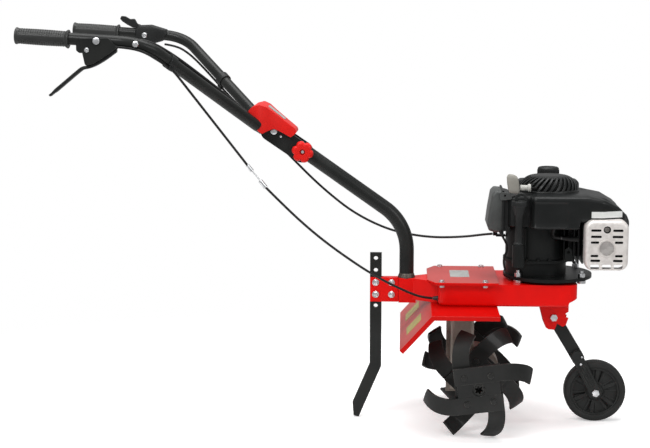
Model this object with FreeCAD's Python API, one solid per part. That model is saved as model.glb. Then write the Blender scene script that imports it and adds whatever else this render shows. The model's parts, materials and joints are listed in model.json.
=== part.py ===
"""Garden tiller with a vertical-shaft engine, one front transport wheel and a rear drag stake.

Millimetres. +X forward, +Y to the machine's left, +Z up. The origin is on the ground, under the
middle of the machine's length and width. Each piece is one STEP file in parts/.
"""
import FreeCAD
import Part
import math
import os

V = FreeCAD.Vector
X_AXIS, Y_AXIS, Z_AXIS = V(1, 0, 0), V(0, 1, 0), V(0, 0, 1)
RIGHT, LEFT = -1, 1

# ---------------------------------------------------------------- driving dimensions
SEAT_GAP = 0.3             # between a piece and the curved or moving face it lies against
RUN_FIT = 0.06             # radial clearance of a shaft that turns in its bore

CASE_REAR_X = 215.0        # belt case
CASE_LENGTH = 291.0
CASE_WIDTH = 170.0
CASE_BOTTOM_Z = 265.0
CASE_HEIGHT = 47.0
CASE_CORNER_R = 18.0
CASE_EDGE_R = 6.0
LID_LENGTH = 148.0         # cover plate on the rear of the case
LID_OVERHANG = 15.0
LID_T = 3.0
LID_CHAMFER = 34.0
NECK_FRONT_HALF = 52.0      # half width of the neck where it meets the case
M6_R = 3.0
M6_HEAD_R = 5.6

MAST_X = 148.0             # upright foot of the column tube
MAST_R = 15.5
MAST_BEND_R = 112.0
MAST_CORNER_Z = 428.0      # where the upright and sloped centrelines meet
MAST_SLOPE_DEG = 35.1
MAST_SLOPE_LENGTH = 376.0

BRACKET_REAR_X = 70.0      # plates that hold the stake
BRACKET_FRONT_X = 130.0
BRACKET_TOP_Z = 311.0
BRACKET_BOTTOM_Z = 258.0
BRACKET_T = 4.0
STAKE_X = 82.0
STAKE_WIDTH = 25.0
STAKE_T = 10.0
STAKE_TOP_Z = 364.0
STAKE_BEND_Z = 114.0
STAKE_RAKE_DEG = 23.0
STAKE_HOLE_R = 4.6
STAKE_HOLE_PITCH = 26.0
STAKE_HOLES = 5
BRACKET_BOLT_PITCH_X = 32.0

GUARD_WIDTH = 374.0        # sheet guard over the tines
GUARD_FRONT_X = 339.0
GUARD_REAR_X = 200.0
GUARD_T = 3.0
GUARD_FLANGE = 9.0
FLAP_LENGTH = 98.0
FLAP_SLOPE_DEG = 48.0
FLAP_HEM = 10.0

TINE_X = 297.5             # tine axle
TINE_Z = 113.7
TINE_SHAFT_R = 13.0
TINE_BORE_R = 9.0
TINE_BORE_DEPTH = 30.0
TINE_SPAN = 384.0
STAR_OUTER_Y = 186.0
STAR_INNER_Y = 96.0
STRIP_WIDTH = 35.0
STRIP_T = 5.0
STRIP_OFFSET = 31.0
STRIP_TAIL = 48.0
STRIP_REACH = 51.25        # from the axle to the bend, along a strip's middle
STRIP_BEND_R = 30.0
STRIP_BEND_DEG = 85.0
STRIP_SKEW_DEG = 35.0
STRIP_TIP = 24.0           # straight past the bend
OUTER_PHASE_DEG = 7.2
INNER_PHASE_DEG = 48.0
HUB_R = 19.0
HUB_LENGTH = 44.0

WORM_X = 269.0             # split gearbox column
COLUMN_LENGTH_X = 50.0
COLUMN_WIDTH = 46.0
WORM_CASE_R = 51.0
WORM_CASE_WIDTH = 52.0

WHEEL_X = 556.0
WHEEL_R = 66.0
WHEEL_WIDTH = 33.0
RIM_R = 51.0
AXLE_R = 5.0
ARM_PIVOT_X = 464.0
ARM_PIVOT_Z = 229.0
ARM_DEPTH = 27.0
ARM_WIDTH = 26.0
ARM_LENGTH = 108.0
ARM_SLOPE_DEG = 59.0
FORK_T = 4.0
WHEEL_SIDE_GAP = 5.0
WHEEL_BRACKET_T = 4.0

ENGINE_X = 449.0
ENGINE_SEAT_Z = 318.0
ENGINE_FLANGE_R = 94.0
ENGINE_FLANGE_T = 7.0
ENGINE_BOLT_CIRCLE_R = 88.0
ENGINE_BOLT_TURNS = (41, 139, 221, 319)
CRANKCASE_REAR_X = 359.0
CRANKCASE_LENGTH = 129.0
CRANKCASE_WIDTH = 116.0
CRANKCASE_CORNER_R = 55.0
FLYWHEEL_R = 38.0
SHROUD_T = 3.0
FIN_PITCH = 9.0
FIN_FRONT_X = 568.0
FIN_BOTTOM_Z = 355.0
FIN_HALF_WIDTH = 66.0
SHROUD_REAR_X = 347.0
SHROUD_BOTTOM_Z = 432.0
SHROUD_TOP_Z = 500.0
SHROUD_HALF_WIDTH = 100.0
SHROUD_FRONT_X = 612.0
OIL_X = 380.0               # oil filler
OIL_Y = -92.0
OIL_FOOT_Z = 398.0
OIL_TOP_Z = 480.0
DOME_X = 448.0
DOME_R = 63.0
DOME_TOP_Z = 535.0
TANK_REAR_X = 388.0
TANK_LENGTH = 134.0
TANK_WIDTH = 56.0
TANK_BOTTOM_Z = 436.0
TANK_HEIGHT = 78.0
FUEL_CAP_R = 24.0
FUEL_CAP_HEIGHT = 19.0
AIR_COVER_REAR_X = 315.0
AIR_COVER_DEPTH = 27.0
AIR_COVER_BOTTOM_Z = 418.0
AIR_COVER_TOP_Z = 508.0
GUIDE_REAR_X = 383.5
GUIDE_Y = -60.0
GUIDE_Z = 514.0
MUFFLER_REAR_X = 518.0
MUFFLER_LENGTH = 80.0
MUFFLER_Y = -112.0
MUFFLER_BOTTOM_Z = 358.0
MUFFLER_HEIGHT = 88.0
MUFFLER_GUARD_GAP = 8.0
MUFFLER_GUARD_T = 2.0

GRIP_REAR_X = -622.0
GRIP_LENGTH = 106.0
GRIP_R = 15.8
GRIP_END_WALL = 4.0
GRIP_Y = 260.0
GRIP_Z = 834.0
HANDLE_R = 12.0
HANDLE_BEND_X = -366.0
HANDLE_BEND_Z = 818.0
HANDLE_BEND_R = 95.0
HANDLE_END_X = -168.0      # where the round tube starts to flatten
HANDLE_END_Y = 54.0
HANDLE_END_Z = 641.0
FLAT_START_ALONG = 366.0   # where it is fully flat, beside the column
END_PLATE_T = 5.0
END_PLATE_R = 21.0
CLUTCH_BOLT_X = -459.0
CLUTCH_BOLT_Z = 823.5
LEVER_PIN_X = -478.0
LEVER_PIN_Z = 806.0
PIVOT_ALONG = 346.0        # from the column's corner, along its slope
KNOB_ALONG = 271.0
PIVOT_R = 5.0
STUD_R = 4.0
TILT_DEG = 8.0             # handlebar tilt each way
COLUMN_GAP = 5.0           # least room between the hood and the column as the handlebar tilts

CABLE_R = 2.5
CABLE_END_GAP = 0.8        # from a cable's slanted end to the piece it enters
LOOM_R = 3.5

# ---------------------------------------------------------------- sizes that follow
CASE_FRONT_X = CASE_REAR_X + CASE_LENGTH
CASE_TOP_Z = CASE_BOTTOM_Z + CASE_HEIGHT
CASE_HALF = CASE_WIDTH / 2
LID_WIDTH = CASE_WIDTH + 2 * LID_OVERHANG
LID_REAR_X = CASE_REAR_X - 23.0
LID_FRONT_X = LID_REAR_X + LID_LENGTH
LID_BOTTOM_Z = CASE_TOP_Z + LID_T
LID_TOP_Z = LID_BOTTOM_Z + LID_T
CRANKCASE_FRONT_X = CRANKCASE_REAR_X + CRANKCASE_LENGTH
MAST_FOOT_Z = BRACKET_TOP_Z
STAKE_HOLE_Z = [STAKE_TOP_Z - 12.0 - STAKE_HOLE_PITCH * i for i in range(STAKE_HOLES)]
BRACKET_BOLT_Z = STAKE_HOLE_Z[2:4]
WHEEL_Z = WHEEL_R
TANK_INNER_Y = SHROUD_HALF_WIDTH - 30.0
TANK_TOP_Z = TANK_BOTTOM_Z + TANK_HEIGHT
TANK_CAP_X = TANK_REAR_X + 68.0
TANK_CAP_Y = TANK_INNER_Y + TANK_WIDTH / 2
PLATE_INNER_Y = MAST_R + 0.8
PLATE_OUTER_Y = PLATE_INNER_Y + END_PLATE_T
BRACKET_INNER_Y = STAKE_T / 2 + SEAT_GAP
BRACKET_OUTER_Y = BRACKET_INNER_Y + BRACKET_T
FORK_INNER_Y = WHEEL_WIDTH / 2 + WHEEL_SIDE_GAP
FORK_OUTER_Y = FORK_INNER_Y + FORK_T

OUT = "parts"


# ---------------------------------------------------------------- shape helpers
def box(x0, x1, y0, y1, z0, z1):
    return Part.makeBox(x1 - x0, y1 - y0, z1 - z0, V(x0, y0, z0))


def cylinder(start, direction, radius, length):
    return Part.makeCylinder(radius, length, start, direction)


def cross_pin(x, z, radius, y0, y1):
    """Cylinder along Y."""
    return cylinder(V(x, y0, z), Y_AXIS, radius, y1 - y0)


def upright(x, y, radius, z0, z1):
    """Cylinder along Z."""
    return cylinder(V(x, y, z0), Z_AXIS, radius, z1 - z0)


def fuse(shapes):
    first, *rest = shapes
    return first.fuse(rest).removeSplitter() if rest else first


def side_profile(points, y0, y1):
    """Closed outline of (x, z) points, extruded from y0 to y1."""
    corners = [V(x, y0, z) for x, z in points]
    face = Part.Face(Part.makePolygon(corners + corners[:1]))
    return face.extrude(V(0, y1 - y0, 0))


def plan_profile(points, z0, z1):
    """Closed outline of (x, y) points, extruded from z0 to z1."""
    corners = [V(x, y, z0) for x, y in points]
    face = Part.Face(Part.makePolygon(corners + corners[:1]))
    return face.extrude(V(0, 0, z1 - z0))


def mirrored(shape):
    return shape.mirror(V(0, 0, 0), Y_AXIS)


def sided(shape, side):
    """The shape as modelled on the right, or its mirror image on the left."""
    return shape if side == RIGHT else mirrored(shape)


def round_edges(shape, radius, wanted):
    edges = [e for e in shape.Edges if wanted(e)]
    return shape.makeFillet(radius, edges)


def is_vertical(edge):
    ends = [v.Point for v in edge.Vertexes]
    return len(ends) == 2 and (ends[0] - ends[1]).cross(Z_AXIS).Length < 1e-6


def runs_across(edge):
    return edge.BoundBox.YMax - edge.BoundBox.YMin > 30


def bolt_y(x, z, shank_r, head_r, head_t, y0, y1):
    """Bolt along Y: shank between y0 and y1 and a head outside each end."""
    shank = cross_pin(x, z, shank_r, y0 - head_t, y1 + head_t)
    heads = [hexagon_y(x, z, head_r, y0 - head_t, y0), hexagon_y(x, z, head_r, y1, y1 + head_t)]
    return fuse([shank] + heads)


def hexagon_y(x, z, across_r, y0, y1):
    turns = [math.radians(60 * i) for i in range(6)]
    return side_profile([(x + across_r * math.cos(a), z + across_r * math.sin(a)) for a in turns], y0, y1)


def hexagon_z(x, y, across_r, z0, z1):
    turns = [math.radians(60 * i) for i in range(6)]
    return plan_profile([(x + across_r * math.cos(a), y + across_r * math.sin(a)) for a in turns], z0, z1)


def rounded_wire(points, radii):
    """Straight runs joined by tangent arcs. One radius for each inner point."""
    edges = []
    start = points[0]
    for before, corner, after, radius in zip(points, points[1:], points[2:], radii):
        back = (before - corner).normalize()
        on = (after - corner).normalize()
        turn = math.pi - back.getAngle(on)
        cut = radius * math.tan(turn / 2)
        middle = (back + on).normalize()
        enter = corner + back * cut
        leave = corner + on * cut
        peak = corner + middle * (radius / math.cos(turn / 2) - radius)
        edges.append(Part.LineSegment(start, enter).toShape())
        edges.append(Part.Arc(enter, peak, leave).toShape())
        start = leave
    edges.append(Part.LineSegment(start, points[-1]).toShape())
    return Part.Wire(edges)


def tube_along(wire, radius):
    first = wire.Edges[0]
    heading = first.tangentAt(first.FirstParameter)
    ring = Part.Wire(Part.makeCircle(radius, wire.Vertexes[0].Point, heading))
    return wire.makePipeShell([ring], True, False)


def cord_radii(points):
    """The largest arc that each inner point's two runs allow."""
    radii = []
    for before, corner, after in zip(points, points[1:], points[2:]):
        back, on = before - corner, after - corner
        turn = math.pi - back.getAngle(on)
        radii.append(0.45 * min(back.Length, on.Length) / math.tan(turn / 2))
    return radii


def cord(name, route, radius):
    points = [V(*p) for p in route]
    radii = cord_radii(points)
    wire = rounded_wire(points, radii)
    tube = tube_along(wire, radius)
    ideal = math.pi * radius ** 2 * wire.Length
    print(f"{name}: {wire.Length:.1f} mm, volume ratio {tube.Volume / ideal:.4f}, "
          f"radii {[round(r) for r in radii]}")
    return tube


def on_mast(along, drop=0.0):
    """Point on the column's sloped centreline, `drop` below it square to the slope."""
    slope = math.radians(MAST_SLOPE_DEG)
    x = MAST_X - along * math.cos(slope) - drop * math.sin(slope)
    z = MAST_CORNER_Z + along * math.sin(slope) - drop * math.cos(slope)
    return x, z


PIVOT_X, PIVOT_Z = on_mast(PIVOT_ALONG)
KNOB_X, KNOB_Z = on_mast(KNOB_ALONG)


# ---------------------------------------------------------------- chassis
def lid_bolt_places():
    rear, front = LID_REAR_X + 30.0, LID_FRONT_X - 28.0
    inset = LID_WIDTH / 2 - 9.0
    return [(x, y) for x in (rear, front) for y in (-inset, inset)]


def chassis_box():
    case = box(CASE_REAR_X, CASE_FRONT_X, -CASE_HALF, CASE_HALF, CASE_BOTTOM_Z, CASE_TOP_Z)
    case = round_edges(case, CASE_CORNER_R, is_vertical)
    low = CASE_BOTTOM_Z + 1e-3
    case = round_edges(case, CASE_EDGE_R, lambda e: e.BoundBox.ZMax < low)
    front = CASE_FRONT_X + 1
    step = [(front - 22, low), (front - 18, low + 10), (front, low + 18), (front, low - 2), (front - 22, low - 2)]
    case = case.cut(side_profile(step, -CASE_WIDTH, CASE_WIDTH))
    flange = plan_profile(lid_outline(2.0), CASE_TOP_Z, LID_BOTTOM_Z)
    body = fuse([case, flange])
    for x, y in lid_bolt_places():
        body = body.cut(upright(x, y, M6_R + 0.1, CASE_TOP_Z - 20, LID_BOTTOM_Z + 1))
    return body


def lid_outline(inset):
    x0, x1 = LID_REAR_X + inset, LID_FRONT_X - inset
    half = LID_WIDTH / 2 - inset
    cut = LID_CHAMFER
    return [(x0, -half + cut), (x0 + cut / 2, -half), (x1, -half),
            (x1, half), (x0 + cut / 2, half), (x0, half - cut)]


def belt_cover_plate():
    plate = plan_profile(lid_outline(0.0), LID_BOTTOM_Z, LID_TOP_Z)
    for x, y in lid_bolt_places():
        plate = plate.cut(upright(x, y, M6_R + 0.1, LID_BOTTOM_Z - 1, LID_TOP_Z + 1))
    return plate


def cover_bolts():
    bolts = []
    for x, y in lid_bolt_places():
        shank = upright(x, y, M6_R, CASE_TOP_Z - 6, LID_TOP_Z + 4)
        head = hexagon_z(x, y, M6_HEAD_R, LID_TOP_Z, LID_TOP_Z + 4)
        nut = hexagon_z(x, y, M6_HEAD_R, CASE_TOP_Z - 5, CASE_TOP_Z)
        bolts.append(fuse([shank, head, nut]))
    return Part.makeCompound(bolts)


def chassis_neck():
    """Tongue, mast socket and rounded shoulder between the bracket plates and the belt case."""
    tongue = box(BRACKET_REAR_X + STAKE_WIDTH + 2, BRACKET_FRONT_X + 4, -STAKE_T / 2, STAKE_T / 2,
                 BRACKET_BOTTOM_Z, BRACKET_TOP_Z)
    socket = box(BRACKET_FRONT_X + 1, MAST_X + 20, -MAST_R - 2, MAST_R + 2, BRACKET_BOTTOM_Z, BRACKET_TOP_Z)
    x0, x1 = MAST_X + 14, CASE_REAR_X
    y0, y1 = MAST_R + 2, NECK_FRONT_HALF
    shoulder = plan_profile([(x0, -y0), (x1, -y1), (x1, y1), (x0, y0)], CASE_BOTTOM_Z, BRACKET_TOP_Z)
    neck = fuse([tongue, socket, shoulder])
    for z in BRACKET_BOLT_Z:
        neck = neck.cut(cross_pin(STAKE_X + 2 + BRACKET_BOLT_PITCH_X, z, STAKE_HOLE_R, -40, 40))
    return neck


def bracket_bolt_places():
    return [(x, z) for x in (STAKE_X, STAKE_X + 2 + BRACKET_BOLT_PITCH_X) for z in BRACKET_BOLT_Z]


def rear_bracket():
    plates = []
    for side in (RIGHT, LEFT):
        y0, y1 = sorted((side * BRACKET_INNER_Y, side * BRACKET_OUTER_Y))
        plate = box(BRACKET_REAR_X, BRACKET_FRONT_X, y0, y1, BRACKET_BOTTOM_Z, BRACKET_TOP_Z)
        for x, z in bracket_bolt_places():
            plate = plate.cut(cross_pin(x, z, STAKE_HOLE_R, y0 - 1, y1 + 1))
        plates.append(plate)
    return Part.makeCompound(plates)


def bracket_bolts():
    y = BRACKET_OUTER_Y
    return Part.makeCompound([bolt_y(x, z, 4.5, 7.5, 4.0, -y, y) for x, z in bracket_bolt_places()])


def drag_stake():
    rake = math.radians(STAKE_RAKE_DEG)
    half = STAKE_WIDTH / 2
    front_low = (STAKE_X + half - STAKE_BEND_Z * math.tan(rake), 0.0)
    rear_low_z = 33.0
    rear_low = (STAKE_X - half - (STAKE_BEND_Z + 6 - rear_low_z) * math.tan(rake), rear_low_z)
    outline = [(STAKE_X - half, STAKE_TOP_Z), (STAKE_X + half, STAKE_TOP_Z), (STAKE_X + half, STAKE_BEND_Z),
               front_low, (rear_low[0] + 2.0, 3.0), rear_low, (STAKE_X - half, STAKE_BEND_Z + 6)]
    stake = side_profile(outline, -STAKE_T / 2, STAKE_T / 2)
    for z in STAKE_HOLE_Z:
        stake = stake.cut(cross_pin(STAKE_X, z, STAKE_HOLE_R, -STAKE_T, STAKE_T))
    return stake


def column_tube():
    foot = V(MAST_X, 0, MAST_FOOT_Z)
    corner = V(MAST_X, 0, MAST_CORNER_Z)
    top_x, top_z = on_mast(MAST_SLOPE_LENGTH)
    tube = tube_along(rounded_wire([foot, corner, V(top_x, 0, top_z)], [MAST_BEND_R]), MAST_R)
    tube = tube.cut(cross_pin(PIVOT_X, PIVOT_Z, PIVOT_R + RUN_FIT, -30, 30))
    return tube.cut(cross_pin(KNOB_X, KNOB_Z, STUD_R + RUN_FIT, -30, 30))


def handle_pivot_bolt():
    y = PLATE_OUTER_Y + SEAT_GAP
    return bolt_y(PIVOT_X, PIVOT_Z, PIVOT_R, 8.2, 5.0, -y, y)


def star_knob():
    """Six-lobed clamp knob, its stud through the column and the nut on the far side."""
    seat = PLATE_OUTER_Y + SEAT_GAP
    hub = cross_pin(KNOB_X, KNOB_Z, 17.0, -seat - 20, -seat)
    lobes = []
    for i in range(6):
        turn = math.radians(60 * i + 20)
        x, z = KNOB_X + 16 * math.cos(turn), KNOB_Z + 16 * math.sin(turn)
        lobes.append(cross_pin(x, z, 7.0, -seat - 18, -seat - 4))
    stud = cross_pin(KNOB_X, KNOB_Z, STUD_R, -seat - 6, seat + 9)
    nut = hexagon_y(KNOB_X, KNOB_Z, 8.0, seat, seat + 7)
    recess = cross_pin(KNOB_X, KNOB_Z, 6.0, -seat - 21, -seat - 12)
    return fuse([fuse([hub] + lobes).cut(recess), stud, nut])


def tine_guard():
    half = GUARD_WIDTH / 2
    top = CASE_BOTTOM_Z
    sheet = box(GUARD_REAR_X, GUARD_FRONT_X, -half, half, top - GUARD_T, top)
    skirts = [box(GUARD_REAR_X, GUARD_FRONT_X, y, y + GUARD_T, top - GUARD_FLANGE, top)
              for y in (-half, half - GUARD_T)]
    slope = math.radians(FLAP_SLOPE_DEG)
    along = (-math.cos(slope), -math.sin(slope))
    square = (math.sin(slope), -math.cos(slope))

    def flap_point(run, depth):
        return (GUARD_REAR_X + along[0] * run + square[0] * depth, top + along[1] * run + square[1] * depth)

    flap = side_profile([flap_point(0, 0), flap_point(FLAP_LENGTH, 0), flap_point(FLAP_LENGTH, GUARD_T),
                         flap_point(-2, GUARD_T)], -half, half)
    hems = [side_profile([flap_point(0, 0), flap_point(FLAP_LENGTH, 0), flap_point(FLAP_LENGTH, FLAP_HEM),
                          flap_point(0, FLAP_HEM)], y, y + GUARD_T) for y in (-half, half - GUARD_T)]
    window = box(WORM_X - COLUMN_LENGTH_X / 2 - 10, WORM_X + COLUMN_LENGTH_X / 2 + 2,
                 -COLUMN_WIDTH / 2 - 2, COLUMN_WIDTH / 2 + 2, top - 20, top + 1)
    return fuse([sheet, flap] + skirts + hems).cut(window)


def gearbox_half(side):
    """Half of the gearbox, with its share of the joint flange behind the column."""
    low = TINE_Z - WORM_CASE_R + 6
    half = COLUMN_LENGTH_X / 2
    column = box(WORM_X - half, WORM_X + half, -COLUMN_WIDTH / 2, 0, low, CASE_BOTTOM_Z)
    column = round_edges(column, 9.0, lambda e: is_vertical(e) and e.BoundBox.YMax < -1)
    drum = cross_pin(TINE_X, TINE_Z, WORM_CASE_R, -WORM_CASE_WIDTH / 2, 0)
    flange = box(WORM_X - half - 9, WORM_X - half + 2, -5, 0, low - 8, CASE_BOTTOM_Z - 12)
    toe = side_profile([(WORM_X - half - 9, low + 14), (WORM_X - half - 9, low - 8),
                        (TINE_X - 12, TINE_Z - WORM_CASE_R - 2), (TINE_X, TINE_Z - WORM_CASE_R + 8)], -5, 0)
    body = fuse([column, drum, flange, toe])
    body = body.cut(cross_pin(TINE_X, TINE_Z, TINE_SHAFT_R + RUN_FIT, -60, 1))
    for x, z in gearbox_bolt_places():
        body = body.cut(cross_pin(x, z, 3.1, -40, 1))
    return sided(body, side)


def gearbox_bolt_places():
    rear_x = WORM_X - COLUMN_LENGTH_X / 2 - 4.5
    return [(rear_x, z) for z in (80.0, 134.0, 188.0, 242.0)]


def gearbox_bolts():
    return Part.makeCompound([bolt_y(x, z, 3.0, 4.3, 3.5, -5, 5) for x, z in gearbox_bolt_places()])


def wheel_bracket():
    inner = ARM_WIDTH / 2 + 1.0
    outer = inner + WHEEL_BRACKET_T
    top = CASE_BOTTOM_Z
    rear, front = ARM_PIVOT_X - 31, ARM_PIVOT_X + 31
    outline = [(rear, top), (rear, 254.0), (rear + 10, 216.0), (rear + 14, 207.0), (rear + 20, 203.0),
               (ARM_PIVOT_X + 2, 202.0), (ARM_PIVOT_X + 7, 216.0), (front - 12, 208.5), (front - 5, 213.0),
               (front, 228.0), (front - 6, 230.5), (front - 6, 238.0), (front, 242.0), (front, top)]
    web = box(rear, front, -outer, outer, top - 4, top)
    plates = [side_profile(outline, y, y + WHEEL_BRACKET_T) for y in (-outer, inner)]
    hole = cross_pin(ARM_PIVOT_X, ARM_PIVOT_Z, AXLE_R + RUN_FIT, -40, 40)
    return fuse([web] + plates).cut(hole)


def arm_pivot_bolt():
    y = ARM_WIDTH / 2 + 1.0 + WHEEL_BRACKET_T + SEAT_GAP
    return bolt_y(ARM_PIVOT_X, ARM_PIVOT_Z, AXLE_R, 8.0, 5.0, -y, y)


# ---------------------------------------------------------------- wheel arm and wheel
def arm_point(along, across=0.0):
    slope = math.radians(ARM_SLOPE_DEG)
    return (ARM_PIVOT_X + along * math.cos(slope) + across * math.sin(slope),
            ARM_PIVOT_Z - along * math.sin(slope) + across * math.cos(slope))


def wheel_arm():
    half = ARM_DEPTH / 2
    bar = side_profile([arm_point(-4, -half), arm_point(ARM_LENGTH, -half), arm_point(ARM_LENGTH, half),
                        arm_point(-4, half)], -ARM_WIDTH / 2, ARM_WIDTH / 2)
    eye = cross_pin(ARM_PIVOT_X, ARM_PIVOT_Z, half, -ARM_WIDTH / 2, ARM_WIDTH / 2)
    bridge = side_profile([arm_point(ARM_LENGTH - 20, -half), arm_point(ARM_LENGTH, -half),
                           arm_point(ARM_LENGTH, half), arm_point(ARM_LENGTH - 20, half)],
                          -FORK_INNER_Y, FORK_INNER_Y)
    arm = fuse([bar, eye, bridge])
    arm = arm.cut(cross_pin(ARM_PIVOT_X, ARM_PIVOT_Z, AXLE_R + RUN_FIT, -40, 40))
    bolt_x, bolt_z = arm_point(ARM_LENGTH - 10)
    return arm.cut(cross_pin(bolt_x, bolt_z, 4.1, -60, 60))


def wheel_fork():
    """Two flat blades, from the arm's end to the wheel's axle."""
    top_x, top_z = arm_point(ARM_LENGTH - 10)
    blades = []
    for side in (RIGHT, LEFT):
        y0, y1 = sorted((side * FORK_INNER_Y, side * FORK_OUTER_Y))
        blade = link_plate(top_x, top_z, 12.0, WHEEL_X, WHEEL_Z, 12.0, y0, y1)
        blade = blade.cut(cross_pin(top_x, top_z, 4.1, y0 - 1, y1 + 1))
        blades.append(blade.cut(cross_pin(WHEEL_X, WHEEL_Z, AXLE_R + 0.1, y0 - 1, y1 + 1)))
    return Part.makeCompound(blades)


def link_plate(x0, z0, r0, x1, z1, r1, y0, y1):
    """Flat plate with round ends of radius r0 and r1."""
    heading = math.atan2(z1 - z0, x1 - x0)
    lean = math.acos((r0 - r1) / math.hypot(x1 - x0, z1 - z0))
    corners = []
    for x, z, r, turn in ((x0, z0, r0, lean), (x1, z1, r1, lean), (x1, z1, r1, -lean), (x0, z0, r0, -lean)):
        corners.append((x + r * math.cos(heading + turn), z + r * math.sin(heading + turn)))
    ends = [cross_pin(x0, z0, r0, y0, y1), cross_pin(x1, z1, r1, y0, y1)]
    return fuse([side_profile(corners, y0, y1)] + ends)


def wheel_bolts():
    fork_x, fork_z = arm_point(ARM_LENGTH - 10)
    fork_bolt = bolt_y(fork_x, fork_z, 4.0, 6.8, 4.0, -FORK_OUTER_Y, FORK_OUTER_Y)
    axle = bolt_y(WHEEL_X, WHEEL_Z, AXLE_R, 8.5, 5.0, -FORK_OUTER_Y, FORK_OUTER_Y)
    return Part.makeCompound([fork_bolt, axle])


def turned_y(profile, x, z):
    """Ring turned about a Y line through (x, z). The profile is a list of (radius, y)."""
    corners = [V(x + r, y, z) for r, y in profile]
    face = Part.Face(Part.makePolygon(corners + corners[:1]))
    return face.revolve(V(x, 0, z), Y_AXIS, 360)


def wheel_tyre():
    w = WHEEL_WIDTH / 2
    profile = [(RIM_R, -w + 2), (WHEEL_R - 6, -w), (WHEEL_R - 1.5, -w + 5), (WHEEL_R, -w + 10),
               (WHEEL_R, w - 10), (WHEEL_R - 1.5, w - 5), (WHEEL_R - 6, w), (RIM_R, w - 2)]
    return turned_y(profile, WHEEL_X, WHEEL_Z)


def wheel_rim():
    band = turned_y([(RIM_R - 4, -13.0), (RIM_R, -13.0), (RIM_R, 13.0), (RIM_R - 4, 13.0)], WHEEL_X, WHEEL_Z)
    hub_half = FORK_INNER_Y - 1.0
    hub = cross_pin(WHEEL_X, WHEEL_Z, 14.0, -hub_half, hub_half)
    web = cross_pin(WHEEL_X, WHEEL_Z, RIM_R - 2, -2.0, 2.0)
    spokes = []
    for i in range(6):
        spoke = box(WHEEL_X + 8, WHEEL_X + RIM_R - 2, -11, 11, WHEEL_Z - 3.5, WHEEL_Z + 3.5)
        spokes.append(spoke.rotate(V(WHEEL_X, 0, WHEEL_Z), Y_AXIS, 60 * i + 30))
    return fuse([band, hub, web] + spokes).cut(cross_pin(WHEEL_X, WHEEL_Z, AXLE_R + RUN_FIT, -40, 40))


# ---------------------------------------------------------------- tines
def strip_place(along, across, layer_y, bend_side):
    """Where a point of the flat strip comes to lie once it is bent, and the sheet's normal there."""
    skew = math.radians(STRIP_SKEW_DEG)
    heading = V(math.cos(skew), 0, math.sin(skew))
    hinge = V(-math.sin(skew), 0, math.cos(skew))
    run = along * math.cos(skew) + across * math.sin(skew)
    turn = min(max(run / STRIP_BEND_R, 0.0), math.radians(STRIP_BEND_DEG))
    straight = run - turn * STRIP_BEND_R
    ahead = heading * math.cos(turn) + V(0, bend_side * math.sin(turn), 0)
    normal = V(0, math.cos(turn), 0) - heading * (bend_side * math.sin(turn))
    rolled = V(0, bend_side * STRIP_BEND_R, 0) - normal * (bend_side * STRIP_BEND_R) + ahead * straight
    middle = V(STRIP_REACH, layer_y, STRIP_OFFSET)
    return middle + rolled + hinge * (across * math.cos(skew) - along * math.sin(skew)), normal


def tine_blade(layer_y, bend_side):
    """One strip heading along +X past the axle line at X = Z = 0, bent about a skew hinge."""
    half_w, half_t = STRIP_WIDTH / 2, STRIP_T / 2
    skew = math.radians(STRIP_SKEW_DEG)
    start = -half_w * math.tan(skew) - 4.0
    end = (STRIP_BEND_R * math.radians(STRIP_BEND_DEG) + STRIP_TIP) / math.cos(skew)
    flat = box(-STRIP_TAIL, STRIP_REACH + start, layer_y - half_t, layer_y + half_t,
               STRIP_OFFSET - half_w, STRIP_OFFSET + half_w)
    sections = []
    for i in range(15):
        along = start + (end - start) * i / 14
        near, _ = strip_place(along, half_w, layer_y, bend_side)
        far, _ = strip_place(along, -half_w, layer_y, bend_side)
        _, normal = strip_place(along, 0.0, layer_y, bend_side)
        skin = normal * half_t
        corners = [near - skin, far - skin, far + skin, near + skin]
        sections.append(Part.makePolygon(corners + corners[:1]))
    return flat.fuse(Part.makeLoft(sections, True, True))


def tine_star(plane_y, phase_deg, bends):
    """Star of four strips, two on each face of a square hub plate, modelled for the right side."""
    plate = box(-44, 44, -STRIP_T / 2, STRIP_T / 2, -44, 44)
    parts = [plate]
    for i, bend in enumerate(bends):
        layer = STRIP_T if i % 2 else -STRIP_T
        blade = tine_blade(layer, bend)
        blade.rotate(V(0, 0, 0), Y_AXIS, -90 * i)
        parts.append(blade)
    inward = 1 if plane_y < 0 else -1
    hub = cylinder(V(0, -inward * 1.5 * STRIP_T, 0), V(0, inward, 0), HUB_R, HUB_LENGTH)
    parts.append(hub)
    for sx in (-27, 27):
        for sz in (-27, 27):
            parts.append(hexagon_y(sx, sz, 6.5, -1.5 * STRIP_T - 4, 1.5 * STRIP_T + 4))
    star = fuse(parts)
    star = star.cut(cross_pin(0, 0, TINE_SHAFT_R + 0.05, -80, 80))
    star.rotate(V(0, 0, 0), Y_AXIS, -phase_deg)
    star.translate(V(TINE_X, plane_y, TINE_Z))
    return star


def tine_shaft():
    half = TINE_SPAN / 2
    shaft = cross_pin(TINE_X, TINE_Z, TINE_SHAFT_R, -half, half)
    for y in (-half, half - TINE_BORE_DEPTH):
        shaft = shaft.cut(cross_pin(TINE_X, TINE_Z, TINE_BORE_R, y, y + TINE_BORE_DEPTH))
    return shaft


# ---------------------------------------------------------------- engine
def engine_bolt_places():
    turns = [math.radians(a) for a in ENGINE_BOLT_TURNS]
    r = ENGINE_BOLT_CIRCLE_R
    return [(ENGINE_X + r * math.cos(a), r * math.sin(a)) for a in turns]


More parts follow.
